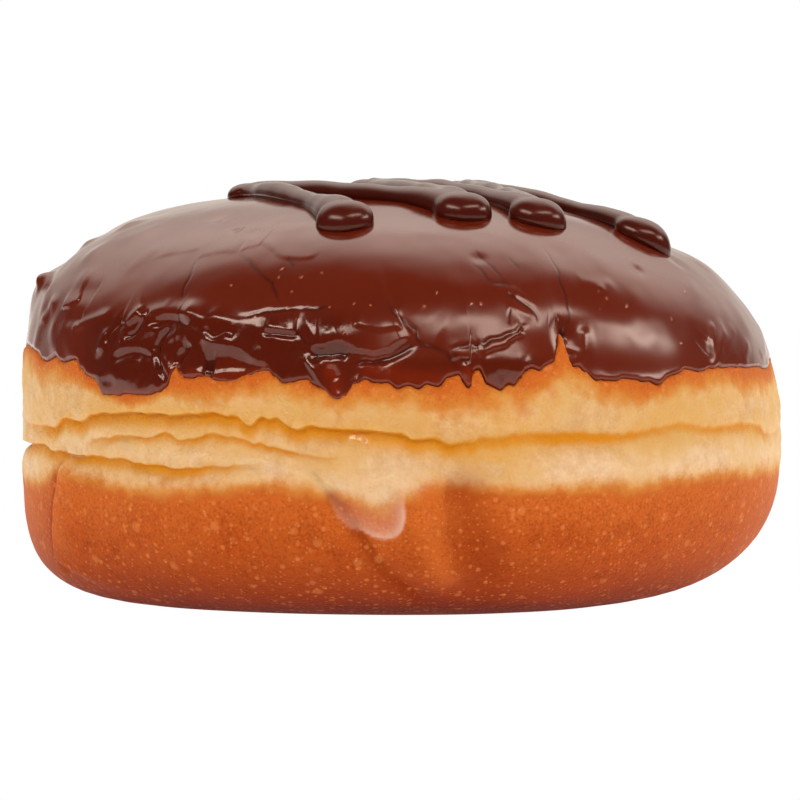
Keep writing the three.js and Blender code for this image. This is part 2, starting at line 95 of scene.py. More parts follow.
MIDDLE_FOLD = [
    [-180, 20.0, 0, 0], [-100, 20.2, 0, 0], [-56, 19.7, 0, 1], [-52.5, 20.4, 0.6, 1],
    [-50, 20.7, 0.8, 1], [-47, 21.1, 0.8, 1], [-40.5, 21.0, 0.8, 1], [-36.8, 21.7, 1.0, 1],
    [-34.5, 20.9, 0.8, 1], [-28.5, 21.7, 0.9, 1], [-24.5, 21.4, 0.8, 1], [-22, 20.8, 0.8, 1],
    [-17, 20.1, 0.8, 1], [-14.8, 19.6, 0.6, 1], [-11, 19.3, 0.5, 0.7], [-8.5, 19.6, 0.2, 0.5],
    [-4, 19.4, 0, 0], [60, 19.2, 0, 0], [120, 20.0, 0, 0],
]
LOWER_FOLD = [
    [-180, 17.8, 0, 0], [-112, 18.2, 0, 0.5], [-100, 18.8, 1.2, 1], [-92, 19.2, 5.2, 1],
    [-86, 19.2, 5.2, 1], [-79, 19.1, 1.8, 1], [-70, 19.2, 1.5, 1], [-66, 18.7, 1.4, 1],
    [-57, 18.5, 1.3, 1], [-46, 18.5, 1.2, 1], [-43.5, 18.0, 1.1, 1], [-38, 17.9, 1.1, 1],
    [-34.5, 17.7, 1.0, 1], [-28.5, 18.0, 0.8, 0.8], [-23, 18.4, 0.5, 0.6], [-17, 18.9, 0, 0.5],
    [-8, 17.9, 0, 0], [60, 17.4, 0, 0], [120, 17.8, 0, 0],
]
# Each fold with how far below it its hollow reaches.
FOLDS = [(MAIN_FOLD, 1.3), (MIDDLE_FOLD, 0.8), (LOWER_FOLD, 1.1)]
HEIGHT, DEPTH, SHARP = 1, 2, 3  # where these stand in a point of a fold
FOLD_DEPTH = 0.38  # how far in a fold of depth 1 cuts

# How far below the icing the dough is browned, as [angle, reach].
SHOULDER = [
    [-180, 3.6], [-62, 3.4], [-50, 1.8], [-38, 2.0], [-33, 3.4], [-10, 3.8], [0, 4.2], [14, 5.8],
    [30, 3.8], [90, 3.6],
]

# Where the pale band turns to crust, as [angle, height].
BROWN_EDGE = [
    [-180, 16.2], [-150, 15.4], [-120, 16.6], [-96, 15.6], [-76.8, 14.8], [-61.3, 16.7],
    [-53, 15.8], [-46, 15.7], [-38, 15.5], [-30.8, 15.8], [-22.8, 16.3], [-15, 16.4],
    [-9.2, 15.2], [-3.5, 13.8], [0.8, 15.4], [5, 16.3], [13.8, 16.0], [29.5, 16.0], [49, 16.4],
    [60, 16.6], [81, 16.5], [110, 15.8], [140, 16.6], [165, 15.6],
]

# Marks on the dough, as [angle, height] paths. A groove gives how wide and how deep it is, and an
# edge how far it stands up and how far behind it that has died away.
DENT = [[8.6, 15.4], [9.6, 12.5], [10.6, 9.7], [13.4, 6.8]]
GROOVES = [
    ("diagonal fold", 1.8, 0.55, [[-13, 18], [-10, 14.8], [-6, 10.5], [-3.5, 6.6], [1, 3.6], [4, 2.2]]),
    ("diagonal line", 0.4, 0.3, [[-13, 17.5], [-10, 14.6], [-6, 10.3], [-3.5, 6.6], [1, 3.6], [4, 2.2]]),
    ("dent", 3.0, 0.9, DENT),
    ("left fold", 0.9, 0.9, [[-61.6, 18.6], [-62.6, 15.5], [-64, 12.6], [-65, 9.6], [-67, 5.5]]),
    ("right back fold", 2.4, 0.8, [[118, 17], [121, 11], [127, 6]]),
    ("left back fold", 2.8, 0.9, [[-142, 18], [-147, 11], [-150, 5.5]]),
]
EDGES = [
    ("left fold", 1.2, 7.0, [[-61, 18.8], [-62, 15.5], [-63.2, 12.6], [-64.2, 9.6], [-66.2, 5.2]]),
    ("diagonal fold", 0.45, 2.5, [[3, 2.4], [0, 4.2], [-3.2, 7], [-6, 10.5], [-9, 13.8]]),
    ("flap", 0.6, 2.6, [[9.8, 5.4], [7.6, 8], [6, 11.4], [5.6, 14.8], [5.9, 18.2]]),
]
# Where painted shade darkens the crust, in the dent and along folds, and where painted light brightens
# the raised side of flaps, as width, share and path.
SHADE_MARKS = [
    (2.6, 0.55, DENT),
    (0.8, 0.65, [[-10.4, 15], [-9, 13.4], [-6, 10.3], [-3.5, 6.6], [1, 3.6], [4, 2.2]]),
    (1.0, 0.6, [[-64, 15.5], [-65.4, 12.6], [-67, 9.6], [-69, 6]]),
]
LIT_MARKS = [
    (1.7, 0.75, [[6.5, 5.6], [4.6, 9], [3.4, 12], [3.2, 15]]),
    (1.6, 0.5, [[-60, 15.0], [-61, 12.6], [-62, 9.6]]),
]
# A smear of dried glaze lies to the left of this path, up to its reach.
SMEAR = [
    [-12.2, 16.8], [-11.8, 15.5], [-11, 14.3], [-10, 12.6], [-8, 11.5], [-6, 10.9],
    [-4.5, 10.3], [-2.8, 10.2], [-1, 10.6], [0, 11.4], [0.5, 12.9], [0.2, 15.4], [0.2, 18.3],
]
SMEAR_REACH = 6.0
# Where the dough shines as if wet, and where streaks of painted shade lie below the icing.
WET = [
    [[-47, 20.2], [-44.8, 20]],
    [[-43.8, 17.3], [-39.8, 16.6], [-35.8, 16.3], [-31.8, 16.5], [-28.2, 17.1]],
    [[-11.8, 21.2], [-9, 21.5], [-6.2, 21.2]],
    [[-10.8, 17.3], [-9.5, 16.6]], [[12, 18.4], [13.8, 18.1]],
    [[-61.3, 18.5], [-56.5, 18.7]], [[-24, 18.6], [-18, 18.2]],
]
SHADE_STREAKS = [
    [[9.8, 26.7], [9.8, 25.2]], [[16.5, 26.6], [16.8, 25.6], [17.5, 24.4]],
    [[6, 26.5], [6, 25.4]], [[20.8, 27.4], [21.8, 26.4]],
]
WET_WIDTH, SHADE_STREAK_WIDTH = 0.7, 0.6
CRUST_FADE = 3.0  # the crust reaches its full brown this far below its edge
BASE_TOP = 14  # up to this height it is darker the lower it lies

# Swells and dips of the whole form, and of the icing's face, as [angle, height, reach, rise].
FORM_SWELLS = [
    [92, 44.6, 12, -1.3], [80, 39.5, 4.5, 0.5], [-92, 37.0, 4.0, 1.1], [-90, 41.2, 3.6, -1.4],
]
ICING_SWELLS = [
    [-28, 33.6, 3.0, 0.3], [-19, 33.4, 3.0, 0.4], [-33, 34.6, 2.4, 0.3],
    [-40, 31.0, 3.2, -0.4], [-24, 30.6, 3.2, -0.5], [-10, 33.2, 2.2, 0.5], [-4, 31.6, 2.6, -0.4],
    [24.6, 32.6, 1.4, -0.4], [-87, 37.6, 1.2, 1.0], [-84, 42.2, 1.4, 0.5], [-76, 44.4, 1.6, 0.35],
    [-62, 43.4, 1.9, 0.16], [-70, 41.2, 1.6, 0.2], [-64, 38.6, 1.5, 0.18], [-53, 40.2, 1.7, 0.12],
    [-118, 34.0, 5.0, 0.5], [-150, 36.5, 5.0, -0.5], [170, 33.0, 4.5, 0.5], [140, 37.0, 5.0, -0.4],
    [-47.8, 45.4, 0.9, -0.25], [-37.2, 44.2, 0.6, -0.15], [-32.2, 44.0, 1.3, -0.12],
    [13.5, 41.4, 0.9, -0.2], [45.2, 39.8, 0.7, -0.22], [62.2, 40.4, 1.3, -0.2],
    [-52.2, 41.9, 2.0, 0.15], [-23.5, 44.7, 2.2, 0.1], [37.5, 40.7, 2.0, 0.12],
    [30.5, 42.1, 2.5, -0.1], [57.5, 37.8, 1.6, 0.12],
]

# Marks on the icing's face, each along a path of [angle, height]. A ridge and a crease give how
# wide they are and how far they rise or cut, in mm. A flap gives how far its edge stands up and
# how far behind the edge it has sunk back. A film is thin icing that the dough shows through,
# and gives how wide it is and how strongly it shows.
RIDGES = [
    ("left bump low", 0.8, 0.3, [[-71.5, 35.5], [-70.2, 35.5]]),
    ("left bump lowest", 0.7, 0.25, [[-72.8, 33.8], [-72, 33.7]]),
    ("bead at the left", 0.5, 0.45, [[-44.8, 35.3], [-45.8, 34.4], [-46.2, 33.7], [-46.8, 33],
        [-47, 32.1]]),
    ("pale ridge", 0.6, 0.3, [[-59.5, 33], [-55.5, 34], [-52.2, 34.6]]),
    ("bulge", 1.1, 0.55, [[-42.8, 34.6], [-40.8, 35], [-38.2, 35.2], [-35, 35.2]]),
    ("round bulge", 1.2, 0.5, [[-34.5, 34.9], [-33.8, 34.9]]),
    ("dome flake", 1.1, 0.35, [[-32, 34.6], [-29.8, 34.6]]),
    ("left bump", 0.8, 0.4, [[-51, 32.3], [-51.5, 31.4]]),
    ("mottled bump", 0.9, 0.45, [[-42.2, 33.2], [-41.2, 33.2]]),
    ("tongue top", 0.8, 0.15, [[-48.5, 30.7], [-46.8, 31], [-43.8, 31.2], [-42, 31.1]]),
    ("tongue", 1.9, 0.35, [[-48, 28.3], [-44, 27.8], [-39.5, 27.6]]),
    ("tongue right edge", 0.4, 0.3, [[-38, 28.3], [-37.2, 27.7], [-36.5, 27]]),
    ("crescent rim", 0.55, 0.25, [[-36.2, 32.9], [-37.8, 32.1], [-38.5, 31.2], [-38.2, 30.1],
        [-37.2, 28.9], [-36.2, 27.9]]),
    ("curtain", 0.9, 0.35, [[-30, 32.5], [-27.2, 32.3], [-24.2, 31.5], [-21.8, 30.7]]),
    ("rim film top", 0.35, 0.1, [[-33, 28.5], [-29.5, 28.7], [-24.8, 28.8], [-21.8, 29.1]]),
    ("light ridge", 0.5, 0.05, [[-25.5, 35.3], [-23, 35.6], [-20, 36.1], [-16.8, 36.2],
        [-13.5, 36.1]]),
    ("drip left", 0.5, 0.45, [[-14, 30.3], [-13, 29.3], [-12, 28.3], [-11, 27.2], [-10, 26.4]]),
    ("drip right", 0.45, 0.35, [[-9, 26.5], [-8, 27.3], [-7.3, 28], [-6.8, 28.3]]),
    ("small drip", 0.6, 0.35, [[9, 29.5], [9.2, 28.4], [9.2, 27.4]]),
    ("smooth lobe", 1.9, 0.65, [[12.2, 29.4], [14.5, 29.6], [16.5, 29.6]]),
    ("notch right lip", 0.9, 0.35, [[27.8, 32.8], [27.5, 31.2], [26.3, 30.1]]),
    ("notch left lip", 0.8, 0.1, [[22.8, 32.6], [22.5, 31]]),
    ("drape a", 1.4, 0.2, [[-77, 36.2], [-74, 33.5], [-74.5, 30.6]]),
    ("drape b", 1.2, 0.2, [[-66.8, 32.6], [-64, 30.6], [-62, 28.8]]),
    ("drape c", 1.2, 0.2, [[-62.8, 32.6], [-59.3, 30.7], [-57, 29]]),
    ("gather a", 0.8, 0.12, [[60, 33.3], [56.8, 31.1], [55.5, 29.4]]),
    ("gather b", 0.8, 0.12, [[63.5, 32.6], [59.3, 30.8], [57.2, 29.7]]),
    ("gather c", 0.8, 0.12, [[67.5, 30.8], [65, 29.5]]),
    ("gather d", 0.8, 0.12, [[87.2, 32.1], [79.5, 30.4], [74.8, 29.5]]),
    ("lower border", 0.9, 0.25, [[28, 28.1], [33, 27.4], [39.8, 27.2], [45, 27.7]]),
    ("flake 1", 0.4, 0.07, [[15.2, 38.2], [17.2, 37.9]]),
    ("flake 2", 0.3, 0.06, [[18, 38], [17.8, 37]]),
    ("flake 3", 0.45, 0.08, [[18.5, 37.5], [20.5, 36.6]]),
    ("flake 4", 0.5, 0.1, [[16.8, 35.8], [19.2, 35.2]]),
    ("pale ridge right", 0.7, 0.1, [[30.8, 38.7], [33.2, 38.3], [36, 38.2]]),
    ("speck bump 1", 0.35, 0.12, [[33.2, 37.8], [34, 37.9]]),
    ("right fold", 1.4, 0.08, [[26.3, 35.6], [31.8, 34.9], [35.5, 33.8]]),
    ("gather e", 0.5, 0.2, [[56.8, 33.2], [55, 31.1], [53.8, 29]]),
    ("gather f", 0.6, 0.15, [[60, 32.5], [57.5, 31.1], [55.2, 29.5]]),
]
CREASES = [
    ("right hollow", 1.5, 0.3, [[53.8, 32.3], [52, 30.7]]),
    ("left of the bead", 0.28, 0.45, [[-43.5, 35.4], [-43, 34.9], [-43.8, 33.8], [-44.5, 33],
        [-46.2, 32.1]]),
    ("second", 0.3, 0.4, [[-48.8, 34.9], [-49.2, 33.7], [-50.3, 32.4], [-50.3, 31.4]]),
    ("under the tongue top", 0.5, 0.4, [[-48.5, 30], [-45.8, 30.5], [-43, 30.6], [-40.5, 30.2]]),
    ("left hollow", 1.3, 0.25, [[-62.8, 37.2], [-57.5, 37.3]]),
    ("left hollow low", 1.0, 0.25, [[-63, 34], [-58.2, 34.1]]),
    ("under the bulge", 0.5, 0.45, [[-42, 34], [-39, 34.3], [-36.2, 34.3], [-34, 33.7]]),
    ("crescent", 0.35, 0.6, [[-38, 33.7], [-39.2, 32.6], [-39.8, 31.5], [-39.5, 30.4],
        [-38.8, 29.2], [-37.5, 28.1], [-36.5, 27.3]]),
    ("crescent inner", 0.6, 0.5, [[-33.8, 31.9], [-34.2, 30.9], [-35.2, 30.1], [-35.8, 29.1]]),
    ("hole", 1.2, 0.9, [[-30.8, 29.4], [-29, 29.4]]),
    ("recess", 2.0, 0.5, [[-32, 30], [-29, 30.6], [-25.2, 29.8], [-22.8, 29.6]]),
    ("middle line", 0.3, 0.3, [[-31.3, 33.5], [-29.5, 33], [-27.5, 33.3], [-25.8, 33]]),
    ("dark line after the ridge", 0.2, 0.1, [[-25.8, 34.8], [-22.2, 35.2], [-17.8, 35.8],
        [-13.5, 35.8], [-11.2, 35.9]]),
    ("lower step", 0.3, 0.35, [[-21.8, 33.3], [-20.2, 33.1], [-18.5, 32.9], [-16, 33]]),
    ("crack a", 0.16, 0.05, [[-16, 34.2], [-16.2, 33.3], [-15, 32.2], [-14.5, 31.7]]),
    ("under the overhang", 0.5, 0.6, [[-13.5, 30.6], [-12, 30.8], [-10.8, 30.8], [-9.2, 31.2],
        [-8, 31.1]]),
    ("under the overhang right", 0.4, 0.3, [[-7, 30.2], [-4.5, 30.1], [-2.2, 30.4], [-0.2, 31.2],
        [1.8, 32]]),
    ("drip middle", 0.6, 0.3, [[-10.8, 29.6], [-9.8, 28.1]]),
    ("long crack", 0.16, 0.06, [[-2.5, 36.5], [-1.8, 35.5], [-0.5, 34.8], [0.8, 34.2], [1.8, 33.5],
        [2, 32.4], [2.8, 31.9], [4.8, 31.6], [6, 31.2], [6.8, 30.4], [7.8, 29.2]]),
    ("flap edge", 0.2, 0.14, [[18.8, 34.2], [17.2, 33.7], [17, 33.3], [15.2, 32.9], [14.5, 32.6],
        [12.8, 32.4], [11.8, 31.9], [10.5, 31.7], [10, 32], [8, 31.8], [6.5, 31.5]]),
    ("curved flake line", 0.16, 0.04, [[6.8, 31.2], [8.2, 30.5], [9.2, 30.3], [9.5, 29.6]]),
    ("notch", 0.8, 0.4, [[25, 31.2], [24.5, 29.9]]),
    ("right crack", 0.15, 0.035, [[27.5, 42.7], [27.2, 41.2], [27, 39.6], [26.5, 38.5],
        [26.5, 36.6], [26.3, 35.8], [26.3, 35], [25, 33.8]]),
    ("crack c", 0.15, 0.03, [[11.5, 40.9], [13, 40.2], [14, 39.1], [15, 38.6], [16.8, 38.5],
        [17.5, 38.4]]),
    ("crack d", 0.15, 0.04, [[13.2, 42.4], [14.5, 41], [15.8, 39.8], [16.5, 38.8]]),
    ("faint crack", 0.15, 0.025, [[19, 41.5], [19.5, 40.6], [20.2, 40.1]]),
    ("vertical crack b", 0.18, 0.09, [[16.5, 37.6], [17.5, 37.2], [19, 36.4], [19.8, 36],
        [20.8, 35.3], [20.8, 34.4]]),
    ("crack by the leaf", 0.15, 0.06, [[16.5, 35.8], [16, 34.9], [16, 34.1]]),
    ("satin crack 1", 0.15, 0.025, [[22.8, 35.4], [22.2, 34.2]]),
    ("satin crack 2", 0.15, 0.025, [[24, 35.4], [23.5, 34.2]]),
    ("notch hole", 0.9, 0.5, [[24, 33.3], [25.2, 33.1]]),
    ("left facet line", 0.15, 0.03, [[-38.8, 41.1], [-38.8, 40.4], [-38, 39.4], [-37.8, 37.9],
        [-37.5, 37.2], [-36.8, 36.7]]),
    ("facet e", 0.15, 0.025, [[-30.8, 41.7], [-26, 40], [-23.8, 39.3], [-22, 38.5], [-19.8, 36.5]]),
    ("facet f", 0.15, 0.035, [[-21.2, 41.2], [-20.2, 40.8], [-19, 40.2]]),
]
FLAPS = [
    ("triangular flake", 0.25, 1.6, [[-48.5, 33.9], [-45.8, 33.8], [-43.8, 34.7]]),
    ("pale flake", 0.3, 1.4, [[-66, 35], [-62.8, 35.4], [-61, 36.3]]),
    ("bright patch lower edge", 0.2, 1.6, [[-21.5, 33.5], [-20, 33.2], [-18.2, 33.2], [-16.2, 33.2]]),
    ("flap 1", 0.2, 1.5, [[6.5, 30.3], [7.8, 30.6], [9.5, 30.6], [11, 30.7]]),
    ("flap 2", 0.25, 1.6, [[11, 30.7], [13.2, 31.3], [15, 31.7], [17, 32.7], [18.5, 33]]),
    ("left facet", 0.05, 2.0, [[-49.8, 40.9], [-46.8, 41.5], [-43.5, 41.9], [-40.8, 42.1],
        [-39, 41.3], [-36.5, 41.7], [-33.8, 41.9], [-31, 41.8]]),
    ("middle facet", 0.05, 2.0, [[-31.3, 42], [-30.2, 42.5], [-28.2, 42.7]]),
    ("oval facet", 0.06, 2.5, [[-31, 43.8], [-27.8, 42.7], [-25.5, 42.1], [-22, 41.3],
        [-19, 41.3], [-16.5, 41.6], [-15, 42.2]]),
    ("leaf", 0.16, 2.5, [[-2, 36.5], [-0.5, 34.9], [1, 33.5], [1.8, 32.2], [3.5, 31.8],
        [5.2, 31.2]]),
    ("overhang lip", 0.5, 5.0, [[-14, 31.1], [-12.8, 31.6], [-9.2, 32], [-7, 31.3], [-4.5, 31.1],
        [-2.2, 31.4], [-0.5, 32.2], [1.2, 32.8]]),
    ("upper lip of the patch", 0.14, 1.5, [[-7.8, 33.9], [-3.5, 33.7], [0, 33.7]]),
]
FILMS = [
    (0.7, 0.9, [[-35.8, 28.8], [-35.8, 28.2]]),  # V gap
    (0.9, 0.7, [[-32.8, 28], [-28.8, 28.2], [-24.5, 28.5], [-21, 28.7]]),  # rim film
    (1.2, 0.25, [[-30.2, 29.4], [-26.3, 29.7], [-22.2, 29.6]]),  # recess film
    (0.9, 0.75, [[-11, 29.5], [-10, 28.1], [-9.8, 26.8]]),  # drip centre
    (1.3, 0.7, [[-4.8, 29.4], [-0.5, 28.3], [3.7, 28], [7.3, 28.1]]),  # right film
    (0.7, 0.9, [[9.2, 29], [9.2, 27.4]]),  # red drip
    (0.8, 0.7, [[23.5, 29.6], [24.5, 31.2], [24.8, 32.1]]),  # notch film
]
SPECKS = [
    [-21.2, 39.2], [-17.5, 39.3], [-17.2, 39.2], [-29, 38.2], [-21.2, 40.1], [-18.2, 37.7],
    [-14, 39.7], [34, 36.7], [32.2, 35.6], [37.5, 35.9], [46.5, 34.3], [54, 37.1], [47, 31.6],
    [-23.2, 34.9], [-18.2, 35.9], [-8.8, 33], [10.5, 36.5], [12, 36.5], [5.2, 37.7], [3, 36.2],
    [-7.8, 36.3], [-5.2, 36.2], [-11.5, 35.9], [54.5, 28.8],
]

# Creases that get painted shade, as all do that are narrower than a hairline, and ridges that hang down.
HAIRLINE = 0.26
SHADED_HOLLOWS = ("hole", "notch hole", "under the overhang", "under the overhang right")
OVERHANGS = ("curtain", "drip left", "drip right")
RELIEF = 0.75  # the share of each ridge and crease that the icing has kept as it set
# Where and how strongly the icing is crumpled: that sets in between the first two angles and
# heights, and dies away between the last two.
CRUMPLED = [
    {"share": 1.0, "angles": (-60, -50, -12, -3), "heights": (25.5, 27.5, 33.5, 36.5)},
    {"share": 0.8, "angles": (-14, -6, 18, 23), "heights": (25.5, 27.0, 29.6, 31.2)},
]

# The turns of the zigzag as [x, y], a drop in front and a loop behind by turns.
ZIGZAG = [
    [-6.7, -27.9], [-18.4, 0.5], [6.7, -24], [-4.5, 9], [15.2, -22.8], [6.8, 12.5], [27.6, -15.2],
]
STRAND = {"width": 2.9, "height": 1.6}
DROP = {"width": 6.7, "length": 5.4, "height": 2.6, "level": 0.45}
LOOP = {"width": 5.0, "length": 4.6, "height": 1.6, "level": 0.0}
SWELL_TO_DROP = 0.32  # the share of a strand that swells towards its drop
SWOLLEN = {"width": 4.5, "height": 2.35}  # a strand where it meets its drop
UNEVEN = {"width": 0.1, "height": 0.14}  # how much a strand's size wavers
WIDEST_SHARE = 0.14  # a bead is at its widest this far up
SQUARENESS = 2.05  # 2 would make a bead's upper half an ellipse
SUNK = 0.6  # how far a bead reaches down into the icing
BEAD_SIDES = 32  # how many points go round a bead
SKIN_VOXEL = 0.22  # the beads become one skin at this size
SKIN_SOFTENING = 16  # and are smoothed this many times

# Columns stand close together where the photo shows the most, and wider apart behind.
COLUMNS = np.concatenate([
    np.arange(-95, -62, 0.5), np.arange(-62, 32, 0.2), np.arange(32, 95, 0.5), np.arange(95, 265, 2.0),
])
COLUMNS = (COLUMNS + 180) % 360 - 180

# Rows of the dough's foot as turns, of its seat under the icing and of the icing's underside
# and crown as shares of the way up to the top, and of the icing's face as distances.
FOOT_TURNS = np.array([-90, -84, -78, -72, -66, -60, -55, -51, -47.5, -44])
SEAT_SHARES = np.array([0.04, 0.1, 0.2, 0.32, 0.45, 0.6, 0.75, 0.89])
UNDERSIDE_SHARES = np.array([0.89, 0.75, 0.6, 0.45, 0.3, 0.17, 0.07, 0.015])
CROWN_SHARES = np.array([0.2, 0.4, 0.58, 0.73, 0.85, 0.94])
FACE_ROWS = np.concatenate([
    [0, 0.04, 0.1, 0.18], np.arange(0.3, 12.5, 0.22), np.arange(12.5, 27, 0.35),
    np.arange(27, 37, 1.2),
])
FAR = 99.0  # mm, further than anything here

# ---- Small helpers ---------------------------------------


def smooth(x, low, high):
    """0 up to low, 1 from high on, and eased between them."""
    share = np.clip((x - low) / (high - low), 0, 1)
    return share * share * (3 - 2 * share)


def bell(x):
    """1 at 0, and less to both sides."""
    return np.exp(-x * x)


def lerp(start, end, share):
    """The value that lies a share of the way from start to end."""
    return start + (end - start) * share


def hashed(i, j, k):
    """A number from 0 to 1 that looks random, but is always the same for three whole numbers."""
    mixed = i * np.uint32(374761393) ^ j * np.uint32(668265263) ^ k * np.uint32(1442695041)
    mixed = (mixed ^ (mixed >> np.uint32(13))) * np.uint32(1274126177)
    return (mixed ^ (mixed >> np.uint32(16))) / 2**32


def noise(points):
    """Smooth noise from -1 to 1 that changes over about one unit."""
    cell = np.floor(points)
    part = points - cell
    near = cell.astype(np.int64)
    ease = part * part * (3 - 2 * part)
    total = 0
    for corner in range(8):
        step = np.array([corner & 1, (corner >> 1) & 1, corner >> 2])
        weight = np.prod(np.where(step == 1, ease, 1 - ease), axis=-1)
        i, j, k = np.moveaxis((near + step).astype(np.uint32), -1, 0)
        total = total + weight * hashed(i, j, k)
    return 2 * total - 1


def layered(points, layers):
    """Noise with finer, fainter noise on top of it."""
    return sum(noise(points * 2**layer + 7.3 * layer) / 2**layer for layer in range(layers))


def on_path(path, angle, value=HEIGHT):
    """A value along a closed path of [angle, ...] points, eased between them."""
    points = np.array(path, float)
    closing = points[:1] + np.array([360] + [0] * (points.shape[1] - 1))
    points = np.concatenate([points, closing])
    angle = points[0, 0] + (angle - points[0, 0]) % 360
    i = np.clip(np.searchsorted(points[:, 0], angle, side="right") - 1, 0, len(points) - 2)
    share = smooth(angle, points[i, 0], points[i + 1, 0])
    return lerp(points[i, value], points[i + 1, value], share)


ACROSS = math.radians(1) * WIDEST_RADIUS["front"]  # mm round the side to a degree


def beside(path, angle, height, reach=9.0):
    """How far places lie from an open path, in mm, where left of the path counts as more than
    zero and right of it as less, and how far along the path the nearest point is, from 0 to 1.
    Places that lie further off than reach aren't measured."""
    points = np.array(path, float)[:, :2] * [ACROSS, 1]
    lengths = np.hypot(*np.diff(points, axis=0).T)
    spots = np.stack(np.broadcast_arrays(angle * ACROSS, height), -1)
    low, high = points.min(0) - reach, points.max(0) + reach
    near = np.all((spots > low) & (spots < high), axis=-1)
    spot = spots[near]
    least = np.full(len(spot), FAR)
    side, along = np.ones(len(spot)), np.zeros(len(spot))
    gone = 0
    for start, end, length in zip(points[:-1], points[1:], lengths):
        direction = (end - start) / length
        away = spot - start
        run = np.clip(away @ direction, 0, length)
        distance = np.hypot(*(away - run[:, None] * direction).T)
        turn = direction[0] * away[:, 1] - direction[1] * away[:, 0]
        nearer = distance < least
        least = np.where(nearer, distance, least)
        side = np.where(nearer, np.where(turn >= 0, 1, -1), side)
        along = np.where(nearer, (gone + run) / lengths.sum(), along)
        gone += length
    signed, share = np.full(near.shape, FAR), np.zeros(near.shape)
    signed[near], share[near] = least * side, along
    return signed, share


def near_path(path, angle, height, width):
    """How near places lie to a path, from 0 to 1, where width is how far that reaches."""
    return bell(beside(path, angle, height, 3 * width)[0] / width)


def near_paths(paths, angle, height, width):
    """How near places lie to any of some paths, from 0 to 1."""
    return np.max([near_path(path, angle, height, width) for path in paths], axis=0)


def near_marks(marks, angle, height):
    """How strongly marks of (width, share, path) show at some places, from 0 to 1."""
    return np.max([
        share * near_path(path, angle, height, width) for width, share, path in marks
    ], axis=0)


def raised_edges(marks, angle, height, step, ends):
    """How far marks of (name, rise, reach, path) raise some places: at once at the path, within
    step mm to its sides, and less further to its left. They fade in at both ends of the path."""
    raised = 0
    for _, rise, reach, path in marks:
        distance, along = beside(path, angle, height, 2.5 * reach)
        tapered = smooth(along, 0, ends) * (1 - smooth(along, 1 - ends, 1))
        raised = raised + rise * smooth(distance, -step, step) * bell(distance / reach) * tapered
    return raised


# ---- The outline of the whole doughnut -------------------


def between(sides, angle):
    """A value that is given for the four sides, at an angle between them."""
    s, c = np.sin(np.radians(angle)), np.cos(np.radians(angle))
    across = (sides["left"] + sides["right"]) / 2 + (sides["right"] - sides["left"]) / 2 * s
    along = (sides["front"] + sides["back"]) / 2 + (sides["front"] - sides["back"]) / 2 * c
    return s * s * across + c * c * along


def outline(angle, turn):
    """The profile's radius and height, where turn goes from -90 at the foot to 90 at the top."""
    widest, level = between(WIDEST_RADIUS, angle), between(WIDEST_LEVEL, angle)
    upper = turn >= 0
    power = 2 / np.where(upper, between(UPPER_FULLNESS, angle), between(LOWER_FULLNESS, angle))
    out = np.maximum(0, np.cos(np.radians(turn))) ** power
    up = np.abs(np.sin(np.radians(turn))) ** power
    radius = np.where(upper, widest * out, FOOT_RADIUS + (widest - FOOT_RADIUS) * out)
    return radius, np.where(upper, level + (ICED_HEIGHT - level) * up, level - level * up)


def turn_at(angle, height):
    """The turn at which the profile reaches a height."""
    level = between(WIDEST_LEVEL, angle)
    upper = height >= level
    share = np.where(upper, (height - level) / (ICED_HEIGHT - level), (level - height) / level)
    power = np.where(upper, between(UPPER_FULLNESS, angle), between(LOWER_FULLNESS, angle)) / 2
    turn = np.degrees(np.arcsin(np.clip(share, 0, 1) ** power))
    return np.where(upper, turn, -turn)


def standing(angle, radius, height):
    """The point at an angle, a distance from the middle and a height."""
    s, c = np.sin(np.radians(angle)), np.cos(np.radians(angle))
    return np.stack(np.broadcast_arrays(radius * s, -radius * c, height), -1)


def on_outline(angle, height):
    """The place on the smooth outline at an angle and a height."""
    return standing(angle, *outline(angle, turn_at(angle, height)))


def swells(bumps, spot):
    """How far a list of [angle, height, reach, rise] bumps raises a spot."""
    total = 0
    for angle, height, reach, rise in bumps:
        away = np.linalg.norm(spot - on_outline(angle, height), axis=-1)
        total = total + rise * bell(away / reach)
    return total


def place(angle, turn, lift, slide=0.0):
    """The point at an angle and turn, raised by lift off the profile and slid up along it."""
    step = 0.05
    radius, height = outline(angle, turn)
    below = outline(angle, np.maximum(-90, turn - step))
    above = outline(angle, np.minimum(90, turn + step))
    run, rise = above[0] - below[0], above[1] - below[1]
    length = np.hypot(run, rise)
    raised = lift + swells(FORM_SWELLS, standing(angle, radius, height))
    out = radius + (rise * raised + run * slide) / length
    return standing(angle, out, height + (rise * slide - run * raised) / length)


def rim_height(angle):
    """The height of the icing's lower edge, with its small scallops."""
    around = np.stack([angle * 0.8, angle * 0 + 3.1, angle * 0 + 8.2], -1)
    return on_path(RIM, angle) + RAGGED * (noise(around) + 0.4 * noise(around * 2.3))


# ---- Meshes ----------------------------------------------


